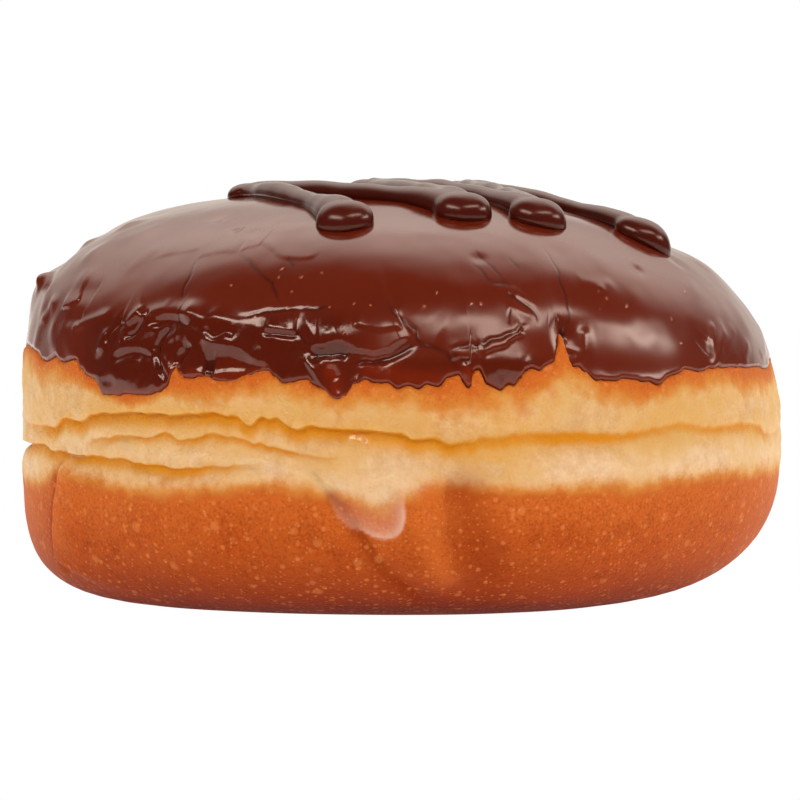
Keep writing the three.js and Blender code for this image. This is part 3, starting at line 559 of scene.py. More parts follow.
def closed_mesh(name, first, rings, last, masks):
    """A piece from rings of points, from its first end up to its last. masks gives the values
    that its finish uses, on every ring point."""
    rows, columns = rings.shape[:2]
    points = np.concatenate([[first], rings.reshape(-1, 3), [last]])
    numbers = 1 + np.arange(rows * columns).reshape(rows, columns)
    after = np.roll(numbers, -1, axis=1)
    sides = np.stack([numbers[:-1], after[:-1], after[1:], numbers[1:]], -1).reshape(-1, 4)
    start = np.stack([np.zeros(columns, int), after[0], numbers[0]], -1)
    end = np.stack([np.full(columns, rows * columns + 1), numbers[-1], after[-1]], -1)
    mesh = bpy.data.meshes.new(name)
    mesh.from_pydata((points + SHIFT) * MM, [], start.tolist() + sides.tolist() + end.tolist())
    for mask, values in masks.items():
        ends = [[values[0].mean()], values.ravel(), [values[-1].mean()]]
        layer = mesh.attributes.new(mask, "FLOAT", "POINT")
        layer.data.foreach_set("value", np.concatenate(ends).astype(np.float32))
    return piece_of(name, mesh)


def piece_of(name, mesh):
    """A smooth-shaded object of a mesh."""
    mesh.polygons.foreach_set("use_smooth", np.ones(len(mesh.polygons), bool))
    mesh.update()
    piece = bpy.data.objects.new(name, mesh)
    bpy.context.scene.collection.objects.link(piece)
    return piece


# ---- Shader maths ----------------------------------------


class Value:
    """A socket whose operators add the Math nodes that work the expression out."""

    def __init__(self, finish, socket):
        self.finish = finish
        self.socket = socket

    def math(self, operation, *values, clamp=False):
        sockets = dict(enumerate([self, *values]))
        return self.finish.node("Math", sockets, operation=operation, use_clamp=clamp)

    def __add__(self, other):
        return self.math("ADD", other)

    def __sub__(self, other):
        return self.math("SUBTRACT", other)

    def __mul__(self, other):
        return self.math("MULTIPLY", other)

    def __rsub__(self, other):
        return self.finish.node("Math", {0: other, 1: self}, operation="SUBTRACT")

    __radd__ = __add__
    __rmul__ = __mul__

    def clamped(self):
        return self.math("ADD", 0.0, clamp=True)

    def ranged(self, low, high, to_low=0.0, to_high=1.0):
        """The value taken from one range to another, held at both ends and eased."""
        sockets = {"Value": self, "From Min": low, "From Max": high, "To Min": to_low, "To Max": to_high}
        return self.finish.node("MapRange", sockets, interpolation_type="SMOOTHSTEP")


class Finish:
    """A material, or the world, that is put together node by node."""

    def __init__(self, owner):
        owner.use_nodes = True
        self.owner = owner
        self.tree = owner.node_tree
        self.tree.nodes.clear()

    def node(self, kind, sockets=None, result=0, **settings):
        """Adds a node, sets its settings, then fills its sockets with values or links."""
        made = self.tree.nodes.new("ShaderNode" + kind)
        for setting, value in settings.items():
            setattr(made, setting, value)
        for name, value in (sockets or {}).items():
            if isinstance(value, Value):
                self.tree.links.new(value.socket, made.inputs[name])
            else:
                made.inputs[name].default_value = value
        return Value(self, made.outputs[result]) if made.outputs else None

    def masks(self, *names):
        """Values that the mesh carries."""
        return [self.node("Attribute", attribute_name=name, result="Fac") for name in names]

    def millimetres(self):
        """The place on the piece, in mm."""
        metres = self.node("TexCoord", result="Object")
        return self.node("VectorMath", {0: metres, "Scale": 1 / MM}, operation="SCALE")

    def grain(self, spot, size, detail=2.0, roughness=0.5, distortion=0.0):
        """Noise from 0 to 1 whose lumps are about size mm across."""
        sockets = {"Vector": spot, "Scale": 1 / size, "Detail": detail}
        return self.node("TexNoise", {**sockets, "Roughness": roughness, "Distortion": distortion})

    def mix(self, share, start, end):
        """A colour between two others."""
        return self.node("Mix", {0: share, 6: start, 7: end}, result=2, data_type="RGBA")

    def painted(self, skin, *coats):
        """A colour under coats of (share, colour), laid on one after the other."""
        for share, coat in coats:
            skin = self.mix(share, skin, coat)
        return skin


def colour(red, green, blue):
    """The colour that a photo shows with these sRGB values, as Blender's own linear one."""

    def linear(byte):
        share = byte / 255
        return share / 12.92 if share <= 0.04045 else ((share + 0.055) / 1.055) ** 2.4

    return (linear(red), linear(green), linear(blue), 1.0)


# ---- Dough -----------------------------------------------


def fold_relief(fold, below, angle, height):
    """How deep a fold cuts, how far its upper lip hangs over it, and how open it is. A sharp fold
    ends in a lip, and a blunt one is as soft above as it is below."""
    ragged = 0.16 * noise(np.stack(np.broadcast_arrays(angle * 0.9, 3.3, 5.9), -1))
    above = height - on_path(fold, angle) - ragged
    depth, sharp = FOLD_DEPTH * on_path(fold, angle, DEPTH), on_path(fold, angle, SHARP)
    blunt_edge, sharp_edge = bell(above / 0.6), 1 - smooth(above, 0.0, 0.35)
    edge = lerp(blunt_edge, sharp_edge, sharp)
    hollow = depth * np.where(above > 0, edge, bell(above / below))
    hang = 0.25 * depth * sharp * np.where(above > 0, bell((above - 0.3) / 0.4), 0)

    above_slit = above - 0.1
    slit = np.where(above_slit > 0, lerp(0.6, 0.2, sharp), lerp(0.7, 1.25, sharp) * below)
    slit = slit * np.minimum(1, 0.35 + 1.6 * depth)
    opening = np.clip(2.6 * depth, 0, 1) * bell(above_slit / slit)
    return hollow, hang, opening


def folded(angle, height):
    """How deep all folds cut, how far their lips hang, and how open they are."""
    parts = [fold_relief(fold, below, angle, height) for fold, below in FOLDS]
    hollows, hangs, openings = zip(*parts)
    return sum(hollows), sum(hangs), np.max(openings, axis=0)


def near_folds(angle, height):
    """How near places lie to a fold that is deep there, from 0 to 1."""
    return np.max([
        np.minimum(1, on_path(fold, angle, DEPTH)) * bell((height - on_path(fold, angle) + 0.5) / 1.5)
        for fold, _ in FOLDS
    ], axis=0)


def dough_rows(angle):
    """Heights of the rows on the dough's side, which stand close together round the folds. Each
    stretch runs up to a height in a number of rows."""
    low, middle, main = (on_path(fold, angle) for fold in (LOWER_FOLD, MIDDLE_FOLD, MAIN_FOLD))
    rim = rim_height(angle)
    start = outline(angle, FOOT_TURNS[-1])[1]
    stretches = [
        (low - 1.4, 38), (low - 0.3, 6), (low + 0.4, 6), (middle - 0.9, 4), (middle - 0.2, 4),
        (middle + 0.35, 4), (main - 1.4, 5), (main - 0.3, 6), (main + 0.1, 4), (main + 0.5, 3),
        (rim - 0.9, 18), (rim + 0.6, 5),
    ]
    rows = []
    for end, count in stretches:
        end = np.maximum(end, start + 0.1)
        rows += [lerp(start, end, (i + 1) / count) for i in range(count)]
        start = end
    return np.array(rows)


def toward_top(turn, shares):
    """Rows of turns that lie at shares of the way from a row up to the top."""
    return turn + (90 - turn) * shares[:, None]


def smeared(angle, height):
    """How thickly dried glaze lies on the dough, from 0 to 1. It is thickest at its edge."""
    inside, _ = beside(SMEAR, angle, height, SMEAR_REACH)
    smear = smooth(inside, 0, 0.35) * (0.25 + 0.75 * bell(inside / 1.5)) * (inside < SMEAR_REACH)
    return smear * (1 - smooth(height, 13, 18.5)) * (0.25 + 0.75 * smooth(angle, -12, -3))


def crumb(spot, pale, wet, smear):
    """How far the dough's skin puffs up, most of all where it is pale."""
    puffs = (0.16 * layered(spot / 2.6, 2) + 0.06 * noise(spot / 0.8)) * pale
    return puffs + 0.03 * noise(spot / 1.1) * (1 - pale) + 0.12 * noise(spot / 0.6) * wet + 0.2 * smear


def make_dough():
    foot = np.broadcast_to(FOOT_TURNS[:, None], (len(FOOT_TURNS), len(COLUMNS)))
    side = turn_at(COLUMNS, dough_rows(COLUMNS))
    turn = np.concatenate([foot, side, toward_top(side[-1], SEAT_SHARES)])
    angle = np.broadcast_to(COLUMNS, turn.shape)
    radius, height = outline(angle, turn)
    spot = standing(angle, radius, height)
    aside = angle + noise(spot / 1.4) * 0.25 / ACROSS  # marks waver by up to 0.25 mm
    rim = rim_height(angle)
    seat = SEAT * smooth(height, rim - SEAT_RUN, rim + SEAT_DEPTH)
    clear_of_foot = smooth(height, 0, 4)
    clear_of_icing = 1 - smooth(height, rim - SEAT_RUN, rim)

    # How open the folds are is also where the light glowing inside them is painted.
    hollow, hang, gap_glow = folded(angle, height)
    for _, width, depth, path in GROOVES:
        hollow = hollow + depth * near_path(path, aside, height, width)
    raised = raised_edges(EDGES, aside, height, step=0.25, ends=0.15)
    wet = near_paths(WET, aside, height, WET_WIDTH)
    smear = smeared(angle, height)
    edge = on_path(BROWN_EDGE, angle)
    pale = smooth(height, edge - 2, edge + 1) * (1 - smooth(height, 24.5, rim))
    relief = noise(spot / 17) * 0.45 - hollow + crumb(spot, pale, wet, smear) + raised
    points = place(angle, turn, -seat + clear_of_icing * clear_of_foot * relief, -hang)
    points[0, :, 2] = 0.0

    # The shoulder is browned as far below the rim's course, without its small teeth.
    turned = (-4, -2.5, -1, 0, 1, 2.5, 4)
    smoothed_rim = np.mean([rim_height(angle + degrees) for degrees in turned], axis=0)
    masks = {
        "crust": (edge - height) / CRUST_FADE,
        "under_rim": 1 - (smoothed_rim - height) / on_path(SHOULDER, angle),
        "gap_glow": gap_glow,
        "smear": smear,
        "wet": wet,
        "shade_streak": near_paths(SHADE_STREAKS, aside, height, SHADE_STREAK_WIDTH),
        # Where shade is painted, and where light is painted on raised flaps.
        "painted_shade": near_marks(SHADE_MARKS, aside, height),
        "brighter": near_marks(LIT_MARKS, aside, height),
        "low": 1 - height / BASE_TOP,
        "near_fold": near_folds(angle, height),
    }
    dough = closed_mesh("fried_dough", (0, 0, 0), points, place(0.0, 90.0, -SEAT), masks)
    dough.data.materials.append(dough_finish())
    return dough


DOUGH = {
    "palest": colour(236, 208, 172),
    "pale": colour(222, 182, 124),
    "turning": colour(214, 142, 60),
    "browning": colour(200, 102, 36),
    "crust": colour(184, 78, 18),
    "deep": colour(156, 58, 6),
    # the crust's deep tone, also laid on as painted shade in the dent and along folds
    "light": colour(212, 110, 42),
    # the crust's light tone, also laid on as painted light on the raised side of flaps
    "base": colour(134, 38, 2),
    "shoulder": colour(204, 104, 36),
    # painted glow of light scattered inside the open folds
    "gap_glow": colour(218, 142, 6),
    "smear": colour(224, 182, 160),
    "fleck": colour(226, 140, 76),
    "pore": colour(132, 48, 10),
    "golden": colour(214, 156, 62),
}


def pale_band(finish, under_rim, near_fold, blotches, mottle, fine):
    """The pale band's colour, which is palest low down and golden near the folds and the icing."""
    paler = under_rim.ranged(-1.6, -1.0, 0.35, 0.0)
    cream = finish.mix((blotches * 0.75 + paler).clamped(), DOUGH["pale"], DOUGH["palest"])
    golden = mottle * 0.22 + fine * 0.08 + near_fold * (0.2 + blotches * 0.3)
    golden = (golden + under_rim.ranged(-1.2, -0.3, 0.0, 0.26)).clamped()
    return finish.mix(golden, cream, DOUGH["golden"])


def brown_crust(finish, crust, blotches, mottle, fine):
    """The crust's colour, which is lighter near its upper edge."""
    brown = finish.mix(mottle, DOUGH["deep"], DOUGH["crust"])
    near_edge = crust.ranged(0.3, 2.4, 0.45, 0.0)
    return finish.mix((blotches * 0.3 + fine * 0.35 + near_edge).clamped(), brown, DOUGH["light"])


def dough_finish():
    """Pale crumb above, a browned crust below and under the icing, and light flecks on both, with
    painted glow in the open folds, painted shade in the dent, along folds and in streaks below the
    icing, and painted light on raised flaps.
    """
    finish = Finish(bpy.data.materials.new("fried_dough"))
    spot = finish.millimetres()
    crust, low, under_rim, near_fold = finish.masks("crust", "low", "under_rim", "near_fold")
    gap_glow, wet, smear = finish.masks("gap_glow", "wet", "smear")
    painted_shade, brighter, shade_streak = finish.masks("painted_shade", "brighter", "shade_streak")

    blotches = finish.grain(spot, 6.0, 2.0).ranged(0.3, 0.7)
    mottle = finish.grain(spot, 1.6, 3.0, 0.6).ranged(0.3, 0.7)
    fine = finish.grain(spot, 0.35, 2.0, 0.6).ranged(0.28, 0.72)
    uneven = (mottle - 0.5) * 0.14 + (fine - 0.5) * 0.06 + (blotches - 0.5) * 0.28
    baked = (crust + uneven).ranged(-0.65, 0.95)
    shoulder = under_rim + uneven * 1.2
    browned = (shoulder.ranged(0.1, 0.8) + baked.ranged(0.3, 0.8)).clamped()
    small, middling = fleck_mask(finish, spot, 0.5, 0.2), fleck_mask(finish, spot, 0.95, 0.4)
    flecks = small * 0.45 + middling * 0.45 + fleck_mask(finish, spot, 2.3, 0.8) * 0.4

    skin = finish.painted(
        pale_band(finish, under_rim, near_fold, blotches, mottle, fine),
        (baked.ranged(0.0, 0.5), DOUGH["turning"]),
        (baked.ranged(0.3, 0.8), DOUGH["browning"]),
        (baked.ranged(0.6, 1.0), brown_crust(finish, crust, blotches, mottle, fine)),
        ((low.ranged(0.3, 1.0) + uneven * 0.7).clamped(), DOUGH["base"]),
        (shoulder.ranged(0.1, 0.65), DOUGH["turning"]),
        (shoulder.ranged(0.45, 1.0), DOUGH["shoulder"]),
        # Painted glow of light inside the open folds.
        ((gap_glow.ranged(0.05, 0.95, 0.0, 0.95) + uneven * gap_glow).clamped(), DOUGH["gap_glow"]),
        # Painted shade in the dent and along folds, and painted light on the raised side of flaps.
        (painted_shade, DOUGH["deep"]),
        (brighter * low.ranged(0.8, 0.4), DOUGH["light"]),
        # Painted shade in streaks below the icing.
        (shade_streak * 0.35, DOUGH["shoulder"]),
        ((flecks * (browned * 0.9 + 0.1)).clamped(), DOUGH["fleck"]),
        (fine.ranged(0.0, 0.5, 0.22, 0.0) * browned, DOUGH["pore"]),
        ((smear * 0.6 + smear.ranged(0.6, 1.0) * 0.25).clamped(), DOUGH["smear"]),
    )
    height = mottle * 0.7 + fine * 0.7 + flecks * 0.6 + wet * finish.grain(spot, 0.5, 2.0) * 2.0
    bump = finish.node("Bump", {"Strength": 1.0, "Distance": 0.12 * MM, "Height": height})
    rough = (0.5 + fine * 0.15 - smear * 0.25 - gap_glow * 0.1).clamped()
    both = {"Base Color": skin, "Roughness": rough, "Normal": bump, "Subsurface Scale": MM}
    soft = finish.node("BsdfPrincipled", {
        **both, "Specular IOR Level": 0.26, "Specular Tint": (1, 0.9, 0.75, 1),
        "Subsurface Weight": 0.6, "Subsurface Radius": (2.4, 1.3, 0.6),
        "Coat Weight": wet.ranged(0.1, 0.7), "Coat Roughness": 0.14,
    })
    crisp = finish.node("BsdfPrincipled", {
        **both, "Specular IOR Level": 0.12, "Specular Tint": (1, 0.72, 0.5, 1),
        "Subsurface Weight": 0.2, "Subsurface Radius": (1.2, 0.5, 0.2),
    })
    shader = finish.node("MixShader", {0: browned, 1: soft, 2: crisp})
    finish.node("OutputMaterial", {"Surface": shader})
    return finish.owner


def fleck_mask(finish, spot, spacing, largest):
    """Small round flecks, one in many of the cells of an uneven grid, up to largest mm in radius."""
    cells = {"Vector": spot, "Scale": 1 / spacing}
    away = finish.node("TexVoronoi", cells, result="Distance") * spacing
    chance = finish.node("SeparateColor", {0: finish.node("TexVoronoi", cells, result="Color")})
    size = chance.ranged(0.1, 1.0, 0.0, largest)
    return (size - away).ranged(0.0, 0.5 * largest)


# ---- Icing -----------------------------------------------


def turns_above(angle, distances):
    """The turns at which the profile has run these distances up from the icing's rim."""
    rim = turn_at(angle, rim_height(angle))
    turn = toward_top(rim, np.linspace(0, 1, 400))
    radius, height = outline(angle, turn)
    steps = np.hypot(np.diff(radius, axis=0), np.diff(height, axis=0))
    gone = np.concatenate([[rim * 0], np.cumsum(steps, 0)])
    return np.array([
        [np.interp(distance, gone[:, i], turn[:, i]) for i in range(len(angle))]
        for distance in distances
    ])


def within(x, limits):
    """From 0 to 1 and back to 0 as x passes four limits."""
    return smooth(x, limits[0], limits[1]) * (1 - smooth(x, limits[2], limits[3]))


def icing_relief(angle, height):
    """How far the icing's face stands off the smooth outline, how far it slides up, and where it is a
    thin film, where its cracks and hollows get painted shade, and where it is crumpled, from 0 to 1."""
    spot = on_outline(angle, height)
    # Marks waver a little up and down and to their sides, so that none is a clean line.
    wander = noise(spot / 1.1) * 0.13 + noise(spot / 3.0) * 0.2
    level = height + wander
    aside = angle + noise(spot / 1.3 + 31) * 0.14 / ACROSS

    crumpled = np.max([
        zone["share"] * within(angle, zone["angles"]) * within(height, zone["heights"])
        for zone in CRUMPLED
    ], axis=0)
    ridged = 0.5 - 1.3 * np.abs(noise(spot / 2.1))
    lift = swells(ICING_SWELLS, spot) + crumpled * (0.14 * ridged + 0.03 * noise(spot / 0.7))
    lift = lift + 0.12 * noise(spot / 6.5) + 0.03 * noise(spot / 2.2)

    slide, crack_shade = 0, 0
    for name, width, rise, path in RIDGES:
        ridge = near_path(path, aside, level, width)
        lift = lift + RELIEF * rise * ridge
        slide = slide - 0.5 * ridge * (name in OVERHANGS)
    for name, width, cut, path in CREASES:
        distance, along = beside(path, aside, level, 3 * width)
        tapered = smooth(along, -0.05, 0.15) * (1 - smooth(along, 0.85, 1.05))
        lift = lift - RELIEF * cut * bell(distance / width) * tapered
        # Narrow creases, and the hollows under overhangs, get painted shade.
        if width < HAIRLINE or name in SHADED_HOLLOWS:
            crack_shade = np.maximum(crack_shade, bell(distance / max(width, 0.16)) * tapered)
    lift = lift + raised_edges(FLAPS, aside, level, step=0.18, ends=0.12)
    film = near_marks(FILMS, aside, level)
    return np.maximum(-0.7, lift), slide, {"film": film, "crack_shade": crack_shade, "crumpled": crumpled}


def speckled(angle, height):
    """Where small bubbles and crumbs lie on the icing, from 0 to 1."""
    spot = on_outline(angle, height)
    nearness = [bell(np.linalg.norm(spot - on_outline(*speck), axis=-1) / 0.17) for speck in SPECKS]
    return np.max(nearness, axis=0)


def make_icing():
    rows = turns_above(COLUMNS, FACE_ROWS)
    rim = rows[0]
    turn = np.concatenate([rows, toward_top(rows[-1], CROWN_SHARES)])
    distance = np.concatenate([FACE_ROWS, np.full(len(CROWN_SHARES), FAR)])[:, None]
    angle = np.broadcast_to(COLUMNS, turn.shape)
    height = outline(angle, turn)[1]
    face = np.sqrt(1 - (1 - np.minimum(1, distance / RIM_ROUND)) ** 2)
    relief, slide, shares = icing_relief(angle, height)
    lift = relief * face - RIM_TUCK * (1 - face)
    outer = place(angle, turn, lift, slide * face)

    under = toward_top(rim, UNDERSIDE_SHARES)
    inner = place(np.broadcast_to(COLUMNS, under.shape), under, -ICING_THICKNESS)
    shares["speck"] = speckled(angle, height)
    shares["from_rim"] = np.broadcast_to(distance, turn.shape)
    masks = {name: np.concatenate([np.zeros(under.shape), values]) for name, values in shares.items()}
    first, last = place(0.0, 90.0, -ICING_THICKNESS), place(0.0, 90.0, 0.0)
    icing = closed_mesh("chocolate_icing", first, np.concatenate([inner, outer]), last, masks)
    icing.data.materials.append(icing_finish())
    return icing


ICING = {
    "dark": colour(90, 25, 8),
    "light": colour(104, 31, 10),
    # painted shade, laid over the crumpled zone for its dark recesses
    "recess": colour(74, 15, 3),
    "film": colour(118, 32, 6),
    "rim": colour(112, 32, 9),
    # painted shade in narrow cracks and in the hollows under overhangs
    "crack": colour(48, 10, 6),
    "speck": colour(176, 92, 52),
}


def icing_finish():
    """Shiny milk chocolate, duller just at its rim, with painted shade over its crumpled zone and in its
    cracks and hollows.
    """
    finish = Finish(bpy.data.materials.new("chocolate_icing"))
    spot = finish.millimetres()
    broad = finish.grain(spot, 6.0, 2.0)
    fine = finish.grain(spot, 0.8, 3.0)
    wrinkles = finish.grain(spot, 0.35, 2.0, 0.6, 0.6)
    from_rim, film, speck = finish.masks("from_rim", "film", "speck")
    crack_shade, crumpled = finish.masks("crack_shade", "crumpled")

    skin = finish.painted(
        finish.mix(broad, ICING["dark"], ICING["light"]),
        # Painted shade over the crumpled zone.
        (crumpled * (0.5 + fine * 0.4), ICING["recess"]),
        ((film + (fine - 0.5) * film).clamped(), ICING["film"]),
        (from_rim.ranged(0.1, 1.1, 0.6, 0.0), ICING["rim"]),
        # Painted shade in cracks and hollows.
        (crack_shade * 0.7, ICING["crack"]),
        (speck.ranged(0.2, 0.7, 0.0, 0.8), ICING["speck"]),
    )
    satin = from_rim.ranged(6.0, 11.5, 0.2, 0.14) + crumpled * (fine * 0.05 - 0.12)
    satin = satin + from_rim.ranged(0.0, 0.5, 0.4, 0.0)
    relief = (wrinkles - 0.5) * (crumpled * 0.3) + speck * 0.8
    bump = finish.node("Bump", {"Strength": 1.0, "Distance": 0.05 * MM, "Height": relief})
    shader = finish.node("BsdfPrincipled", {
        "Base Color": skin, "Roughness": satin, "Normal": bump,
        "Specular IOR Level": 0.5, "Specular Tint": (1, 0.86, 0.8, 1),
        "Subsurface Weight": 0.06, "Subsurface Radius": (1.0, 0.3, 0.15), "Subsurface Scale": MM,
    })
    finish.node("OutputMaterial", {"Surface": shader})
    return finish.owner


# ---- Zigzag ----------------------------------------------


def icing_top(x, y):
    """The icing's face above a place seen from above."""
    angle = np.degrees(np.arctan2(x, -y))
    share = np.hypot(x, y) / between(WIDEST_RADIUS, angle)
    turn = np.degrees(np.arccos(np.minimum(1, share ** (between(UPPER_FULLNESS, angle) / 2))))
    return place(angle, turn, icing_relief(angle, outline(angle, turn)[1])[0])


def squared(share, power):
    """A sine or cosine, changed so that it draws a squarer oval than an ellipse."""
    return np.sign(share) * np.abs(share) ** (2 / power)


def bead(name, start, end, size, steps=60, level=0.0):
    """A bead of chocolate that lies on the icing, whose width and height follow size(t). Its top
    follows the icing's slope less, the nearer level is to 1."""
    start, end = np.array(start, float), np.array(end, float)
    along = (end - start) / np.linalg.norm(end - start)
    across = np.array([-along[1], along[0]])
    t = 0.5 - 0.5 * np.cos(math.pi * (np.arange(steps) + 0.35) / (steps - 0.3))
    width, height = size(t)
    turn = 2 * math.pi * np.arange(BEAD_SIDES) / BEAD_SIDES
    power = np.where(np.sin(turn) > 0, SQUARENESS, 2)
    aside = squared(np.cos(turn), power) * width[:, None] / 2
    rise = squared(np.sin(turn), power)
    middle = start + (end - start) * t[:, None]
    ground = middle[:, None, :] + aside[..., None] * across
    points = icing_top(ground[..., 0], ground[..., 1])
    widest = (WIDEST_SHARE * height)[:, None]
    below = widest + np.minimum(SUNK, height[:, None])
    uphill = icing_top(*((start + end) / 2))[2] - points[..., 2]
    stood = np.where(rise > 0, level * uphill * (height / height.max())[:, None], 0)
    points[..., 2] += stood + widest + rise * np.where(rise > 0, height[:, None] - widest, below)
    first, last = icing_top(*start), icing_top(*end)
    return closed_mesh(name, first, points, last, {})


def round_ends(t, share, power=2.0):
    """1 along the middle of a bead, and rounded down to 0 over a share of it at its ends."""
    beyond = np.maximum(0, np.abs(2 * t - 1) - (1 - share)) / share
    return (1 - beyond**power) ** (1 / power)


def blob(spot, form):
    """A rounded bead that is as wide along x as form says."""
    x, y = spot
    reach = form["width"] / 2

    def size(t):
        return form["length"] * round_ends(t, 1), form["height"] * round_ends(t, 1, 2.5)

    return bead("blob", (x - reach, y), (x + reach, y), size, level=form["level"])


def strand(number, start, end):
    """A strand of the zigzag, which swells towards the drop at its front end."""
    drop_first = number % 2 == 0

    def size(t):
        near_drop = 1 - smooth(t if drop_first else 1 - t, 0, SWELL_TO_DROP)
        uneven = noise(np.stack([t * 9, t * 0 + 3.7 * number, t * 0 + 5.1], -1))
        close = round_ends(t, 0.1)
        return tuple(
            lerp(STRAND[way], SWOLLEN[way], near_drop) * close * (1 + UNEVEN[way] * uneven)
            for way in ("width", "height")
        )

    return bead("strand", start, end, size, steps=120)


def one_skin(name, beads):
    """One piece whose skin runs over all the beads and softens the dips between them."""
    joined = beads[0]
    with bpy.context.temp_override(active_object=joined, selected_editable_objects=beads):
        bpy.ops.object.join()
    remesh = joined.modifiers.new("one_skin", "REMESH")
    remesh.mode = "VOXEL"
    remesh.voxel_size = SKIN_VOXEL * MM
    soften = joined.modifiers.new("soften", "SMOOTH")
    soften.factor = 0.5
    soften.iterations = SKIN_SOFTENING
    bpy.context.view_layer.update()
    shape = joined.evaluated_get(bpy.context.evaluated_depsgraph_get())
    mesh = bpy.data.meshes.new_from_object(shape)
    bpy.data.objects.remove(joined)
    return piece_of(name, mesh)


def make_zigzag():
    beads = [strand(i, *ends) for i, ends in enumerate(zip(ZIGZAG[:-1], ZIGZAG[1:]))]
    beads += [blob(spot, DROP) for spot in ZIGZAG[::2]]
    beads += [blob(spot, LOOP) for spot in ZIGZAG[1::2]]
    zigzag = one_skin("chocolate_zigzag", beads)
    zigzag.data.materials.append(zigzag_finish())
    return zigzag


DARK_CHOCOLATE = {"dark": colour(66, 15, 7), "light": colour(80, 21, 11)}


def zigzag_finish():
    finish = Finish(bpy.data.materials.new("dark_chocolate"))
    broad = finish.grain(finish.millimetres(), 5.0, 2.0)
    skin = finish.mix(broad, DARK_CHOCOLATE["dark"], DARK_CHOCOLATE["light"])
    shader = finish.node("BsdfPrincipled", {
        "Base Color": skin, "Roughness": 0.17 + broad * 0.06,
        "Specular IOR Level": 0.36, "Specular Tint": (1, 0.8, 0.72, 1),
        "Subsurface Weight": 0.05, "Subsurface Radius": (1.0, 0.3, 0.15), "Subsurface Scale": MM,
    })
    finish.node("OutputMaterial", {"Surface": shader})
    return finish.owner


# ---- Studio ----------------------------------------------

CAMERA_TARGET = (-0.47, 0.0, 23.59)
CAMERA_DISTANCE = 700.0
CAMERA_RISE = 3.0  # degrees above the level
LENS, SENSOR_WIDTH = 266.8, 36.0  # mm
FLOOR_REACH = 6.0  # metres to each side

ROOM = 0.1  # how bright the room is where nothing lights it
ROOM_TINT = (1.0, 0.92, 0.82, 1.0)
# Directions are told by how far they point right, back and up, from -1 to 1. The white wall
# behind starts at nearest overhead, and further back by slope lower down.
BACKDROP = {
    "strength": 0.8, "more_on_the_right": 0.6, "right": (0.2, 0.55), "soft": 0.12,
    "nearest": 0.35, "at_the_floor": 1.07, "slope": 1.2, "furthest": 0.82,
}
# The lamp overhead fades in from front to back between two values of back, and further back by
# slope to both sides of its middle.
TOP_LAMP = {
    "strength": 1.4, "middle": 0.2, "sides": 0.38, "slope": 0.8, "back": (-0.18, 0.36),
    "up": (0.35, 0.75),
}
# Soft lamps, each at an azimuth round from the front and an elevation, and turned by tilt.
LAMPS = [
    {"at": (-40, 45), "tilt": 0, "half_size": (18, 6), "soft": (0.12, 0.06), "strength": 11.0},
    {"at": (43, 53), "tilt": 10, "half_size": (19, 4.5), "soft": (0.15, 0.05), "strength": 10.0},
    {"at": (86, 29), "tilt": 13, "half_size": (13, 3.5), "soft": (0.1, 0.05), "strength": 12.0},
]
FLOOR_GLOW = 0.36  # how brightly the floor shines up by itself


def make_camera():
    data = bpy.data.cameras.new("camera")
    data.lens = LENS
    data.sensor_width = SENSOR_WIDTH
    camera = bpy.data.objects.new("camera", data)
    bpy.context.scene.collection.objects.link(camera)
    rise = math.radians(CAMERA_RISE)
    target = Vector(np.array(CAMERA_TARGET) + SHIFT) * MM
    back = Vector((0, -math.cos(rise), math.sin(rise)))
    camera.location = target + back * CAMERA_DISTANCE * MM
    camera.rotation_euler = (-back).to_track_quat("-Z", "Y").to_euler()
    bpy.context.scene.camera = camera


def make_floor():
    """A floor that lights the doughnut from below, and that the camera sees as plain white."""
    mesh = bpy.data.meshes.new("floor")
    corner_ways = [(-1, -1), (1, -1), (1, 1), (-1, 1)]
    sides = [(x * FLOOR_REACH, y * FLOOR_REACH, 0) for x, y in corner_ways]
    mesh.from_pydata(sides, [], [(0, 1, 2, 3)])
    floor = bpy.data.objects.new("floor", mesh)
    bpy.context.scene.collection.objects.link(floor)
    finish = Finish(bpy.data.materials.new("pale_floor"))
    lit = finish.node("BsdfDiffuse", {"Color": (0.9, 0.9, 0.9, 1)})
    glow = finish.node("Emission", {"Color": (1, 1, 1, 1), "Strength": FLOOR_GLOW})
    lit = finish.node("AddShader", {0: lit, 1: glow})
    white = finish.node("Emission", {"Color": (1, 1, 1, 1), "Strength": 1.0})
    seen = finish.node("LightPath", result="Is Camera Ray")
    shader = finish.node("MixShader", {0: seen, 1: lit, 2: white})
    finish.node("OutputMaterial", {"Surface": shader})
    mesh.materials.append(finish.owner)


def softbox(finish, way, lamp):
    """How much of a soft lamp lies in a direction, from 0 to 1. The lamp stands at an azimuth
    round from the front and at an elevation, and spans half_size degrees to each side."""
    a, e = (math.radians(turn) for turn in lamp["at"])
    out = (math.sin(a) * math.cos(e), -math.cos(a) * math.cos(e), math.sin(e))
    aside = (math.cos(a), math.sin(a), 0.0)
    upward = (-math.sin(a) * math.sin(e), math.cos(a) * math.sin(e), math.cos(e))
    tilt = Matrix.Rotation(math.radians(-lamp["tilt"]), 3, out)
    axes = (tilt @ Vector(aside), tilt @ Vector(upward))
    share = 1.0
    for axis, half, soft in zip(axes, lamp["half_size"], lamp["soft"]):
        offset = finish.node("VectorMath", {0: way, 1: axis}, operation="DOT_PRODUCT", result="Value")
        edge = math.sin(math.radians(half))
        share = (1 - offset.math("ABSOLUTE").ranged(edge - soft, edge + soft)) * share
    # The far side of the room has the same offsets, and stays dark.
    facing = finish.node("VectorMath", {0: way, 1: out}, operation="DOT_PRODUCT", result="Value")
    return share * facing.ranged(0.3, 0.5)


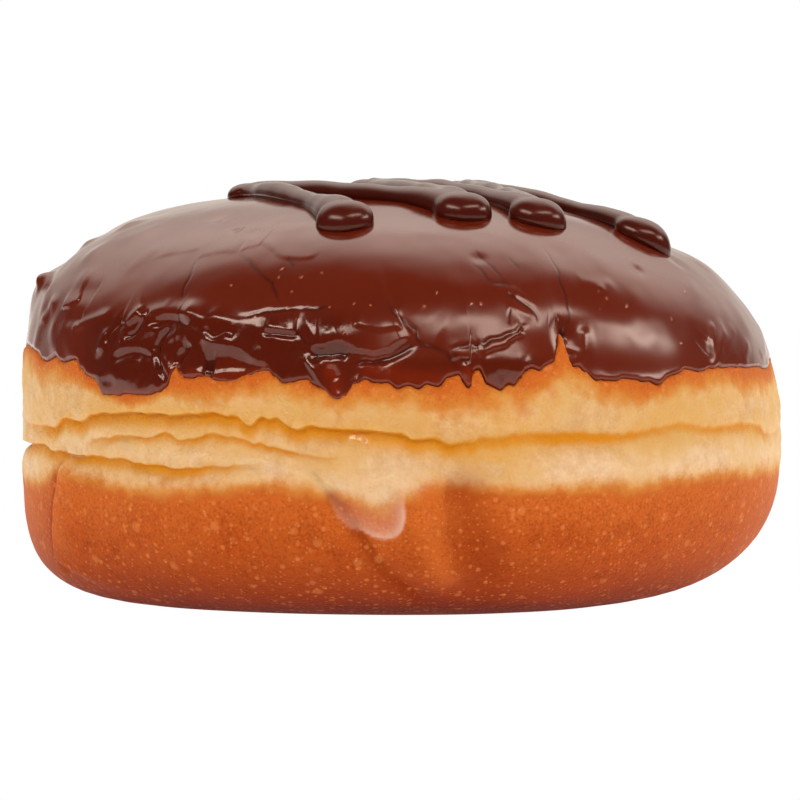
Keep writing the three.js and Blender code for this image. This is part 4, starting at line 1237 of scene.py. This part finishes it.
def light_room():
    """Plain soft studio light: a white wall behind the doughnut, which is brighter on the right, a
    broad lamp overhead, soft lamps in front at both sides, and a dim room between them."""
    finish = Finish(bpy.data.worlds.new("room"))
    way = finish.node("TexCoord", result="Generated")
    across, back, up = (finish.node("SeparateXYZ", {"Vector": way}, result=axis) for axis in "XYZ")
    start = (BACKDROP["at_the_floor"] - up * BACKDROP["slope"]).math("MAXIMUM", BACKDROP["nearest"])
    start = start.math("MINIMUM", BACKDROP["furthest"])
    wall = (back - start).ranged(-BACKDROP["soft"], BACKDROP["soft"])
    wall = wall * (1 + across.ranged(*BACKDROP["right"]) * BACKDROP["more_on_the_right"])
    aside = (across - TOP_LAMP["middle"]).math("ABSOLUTE").math("MINIMUM", TOP_LAMP["sides"])
    top = (back - aside * TOP_LAMP["slope"]).ranged(*TOP_LAMP["back"]) * up.ranged(*TOP_LAMP["up"])
    strength = wall * BACKDROP["strength"] + top * TOP_LAMP["strength"] + ROOM
    for lamp in LAMPS:
        strength = strength + softbox(finish, way, lamp) * lamp["strength"]
    # The camera itself sees plain white.
    seen = finish.node("LightPath", result="Is Camera Ray")
    tint = finish.mix(seen, ROOM_TINT, (1, 1, 1, 1))
    shader = finish.node("Background", {"Color": tint, "Strength": strength * (1 - seen) + seen})
    finish.node("OutputWorld", {"Surface": shader})
    bpy.context.scene.world = finish.owner


# ---- The doughnut ----------------------------------------


def shift_to_frame():
    """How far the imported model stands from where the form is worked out, in mm."""
    girth = place(np.arange(-180, 180, 1.0), 0.0, 0.0)
    own = (girth.min(axis=0) + girth.max(axis=0)) / 2
    packed = np.array(corners(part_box("dough"))).mean(axis=0) / MM
    return np.array([packed[0] - own[0], packed[1] - own[1], 0.0])


def corners(low_high):
    """The two corners of a box as plain lists."""
    return [list(corner) for corner in low_high]


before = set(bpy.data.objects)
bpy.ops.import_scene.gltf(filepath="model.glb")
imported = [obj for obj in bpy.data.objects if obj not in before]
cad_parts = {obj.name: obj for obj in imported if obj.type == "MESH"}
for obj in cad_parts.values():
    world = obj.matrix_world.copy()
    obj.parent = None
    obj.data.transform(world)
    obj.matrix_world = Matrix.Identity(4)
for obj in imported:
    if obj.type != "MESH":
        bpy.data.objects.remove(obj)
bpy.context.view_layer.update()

bpy.context.scene.view_settings.view_transform = "Standard"
SHIFT = shift_to_frame()

make_camera()
make_floor()
light_room()

dough = make_dough()
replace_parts(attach(dough, "root"), "dough")
icing = make_icing()
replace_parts(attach(icing, "root"), "icing")
zigzag = make_zigzag()
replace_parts(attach(zigzag, "root"), "icing")
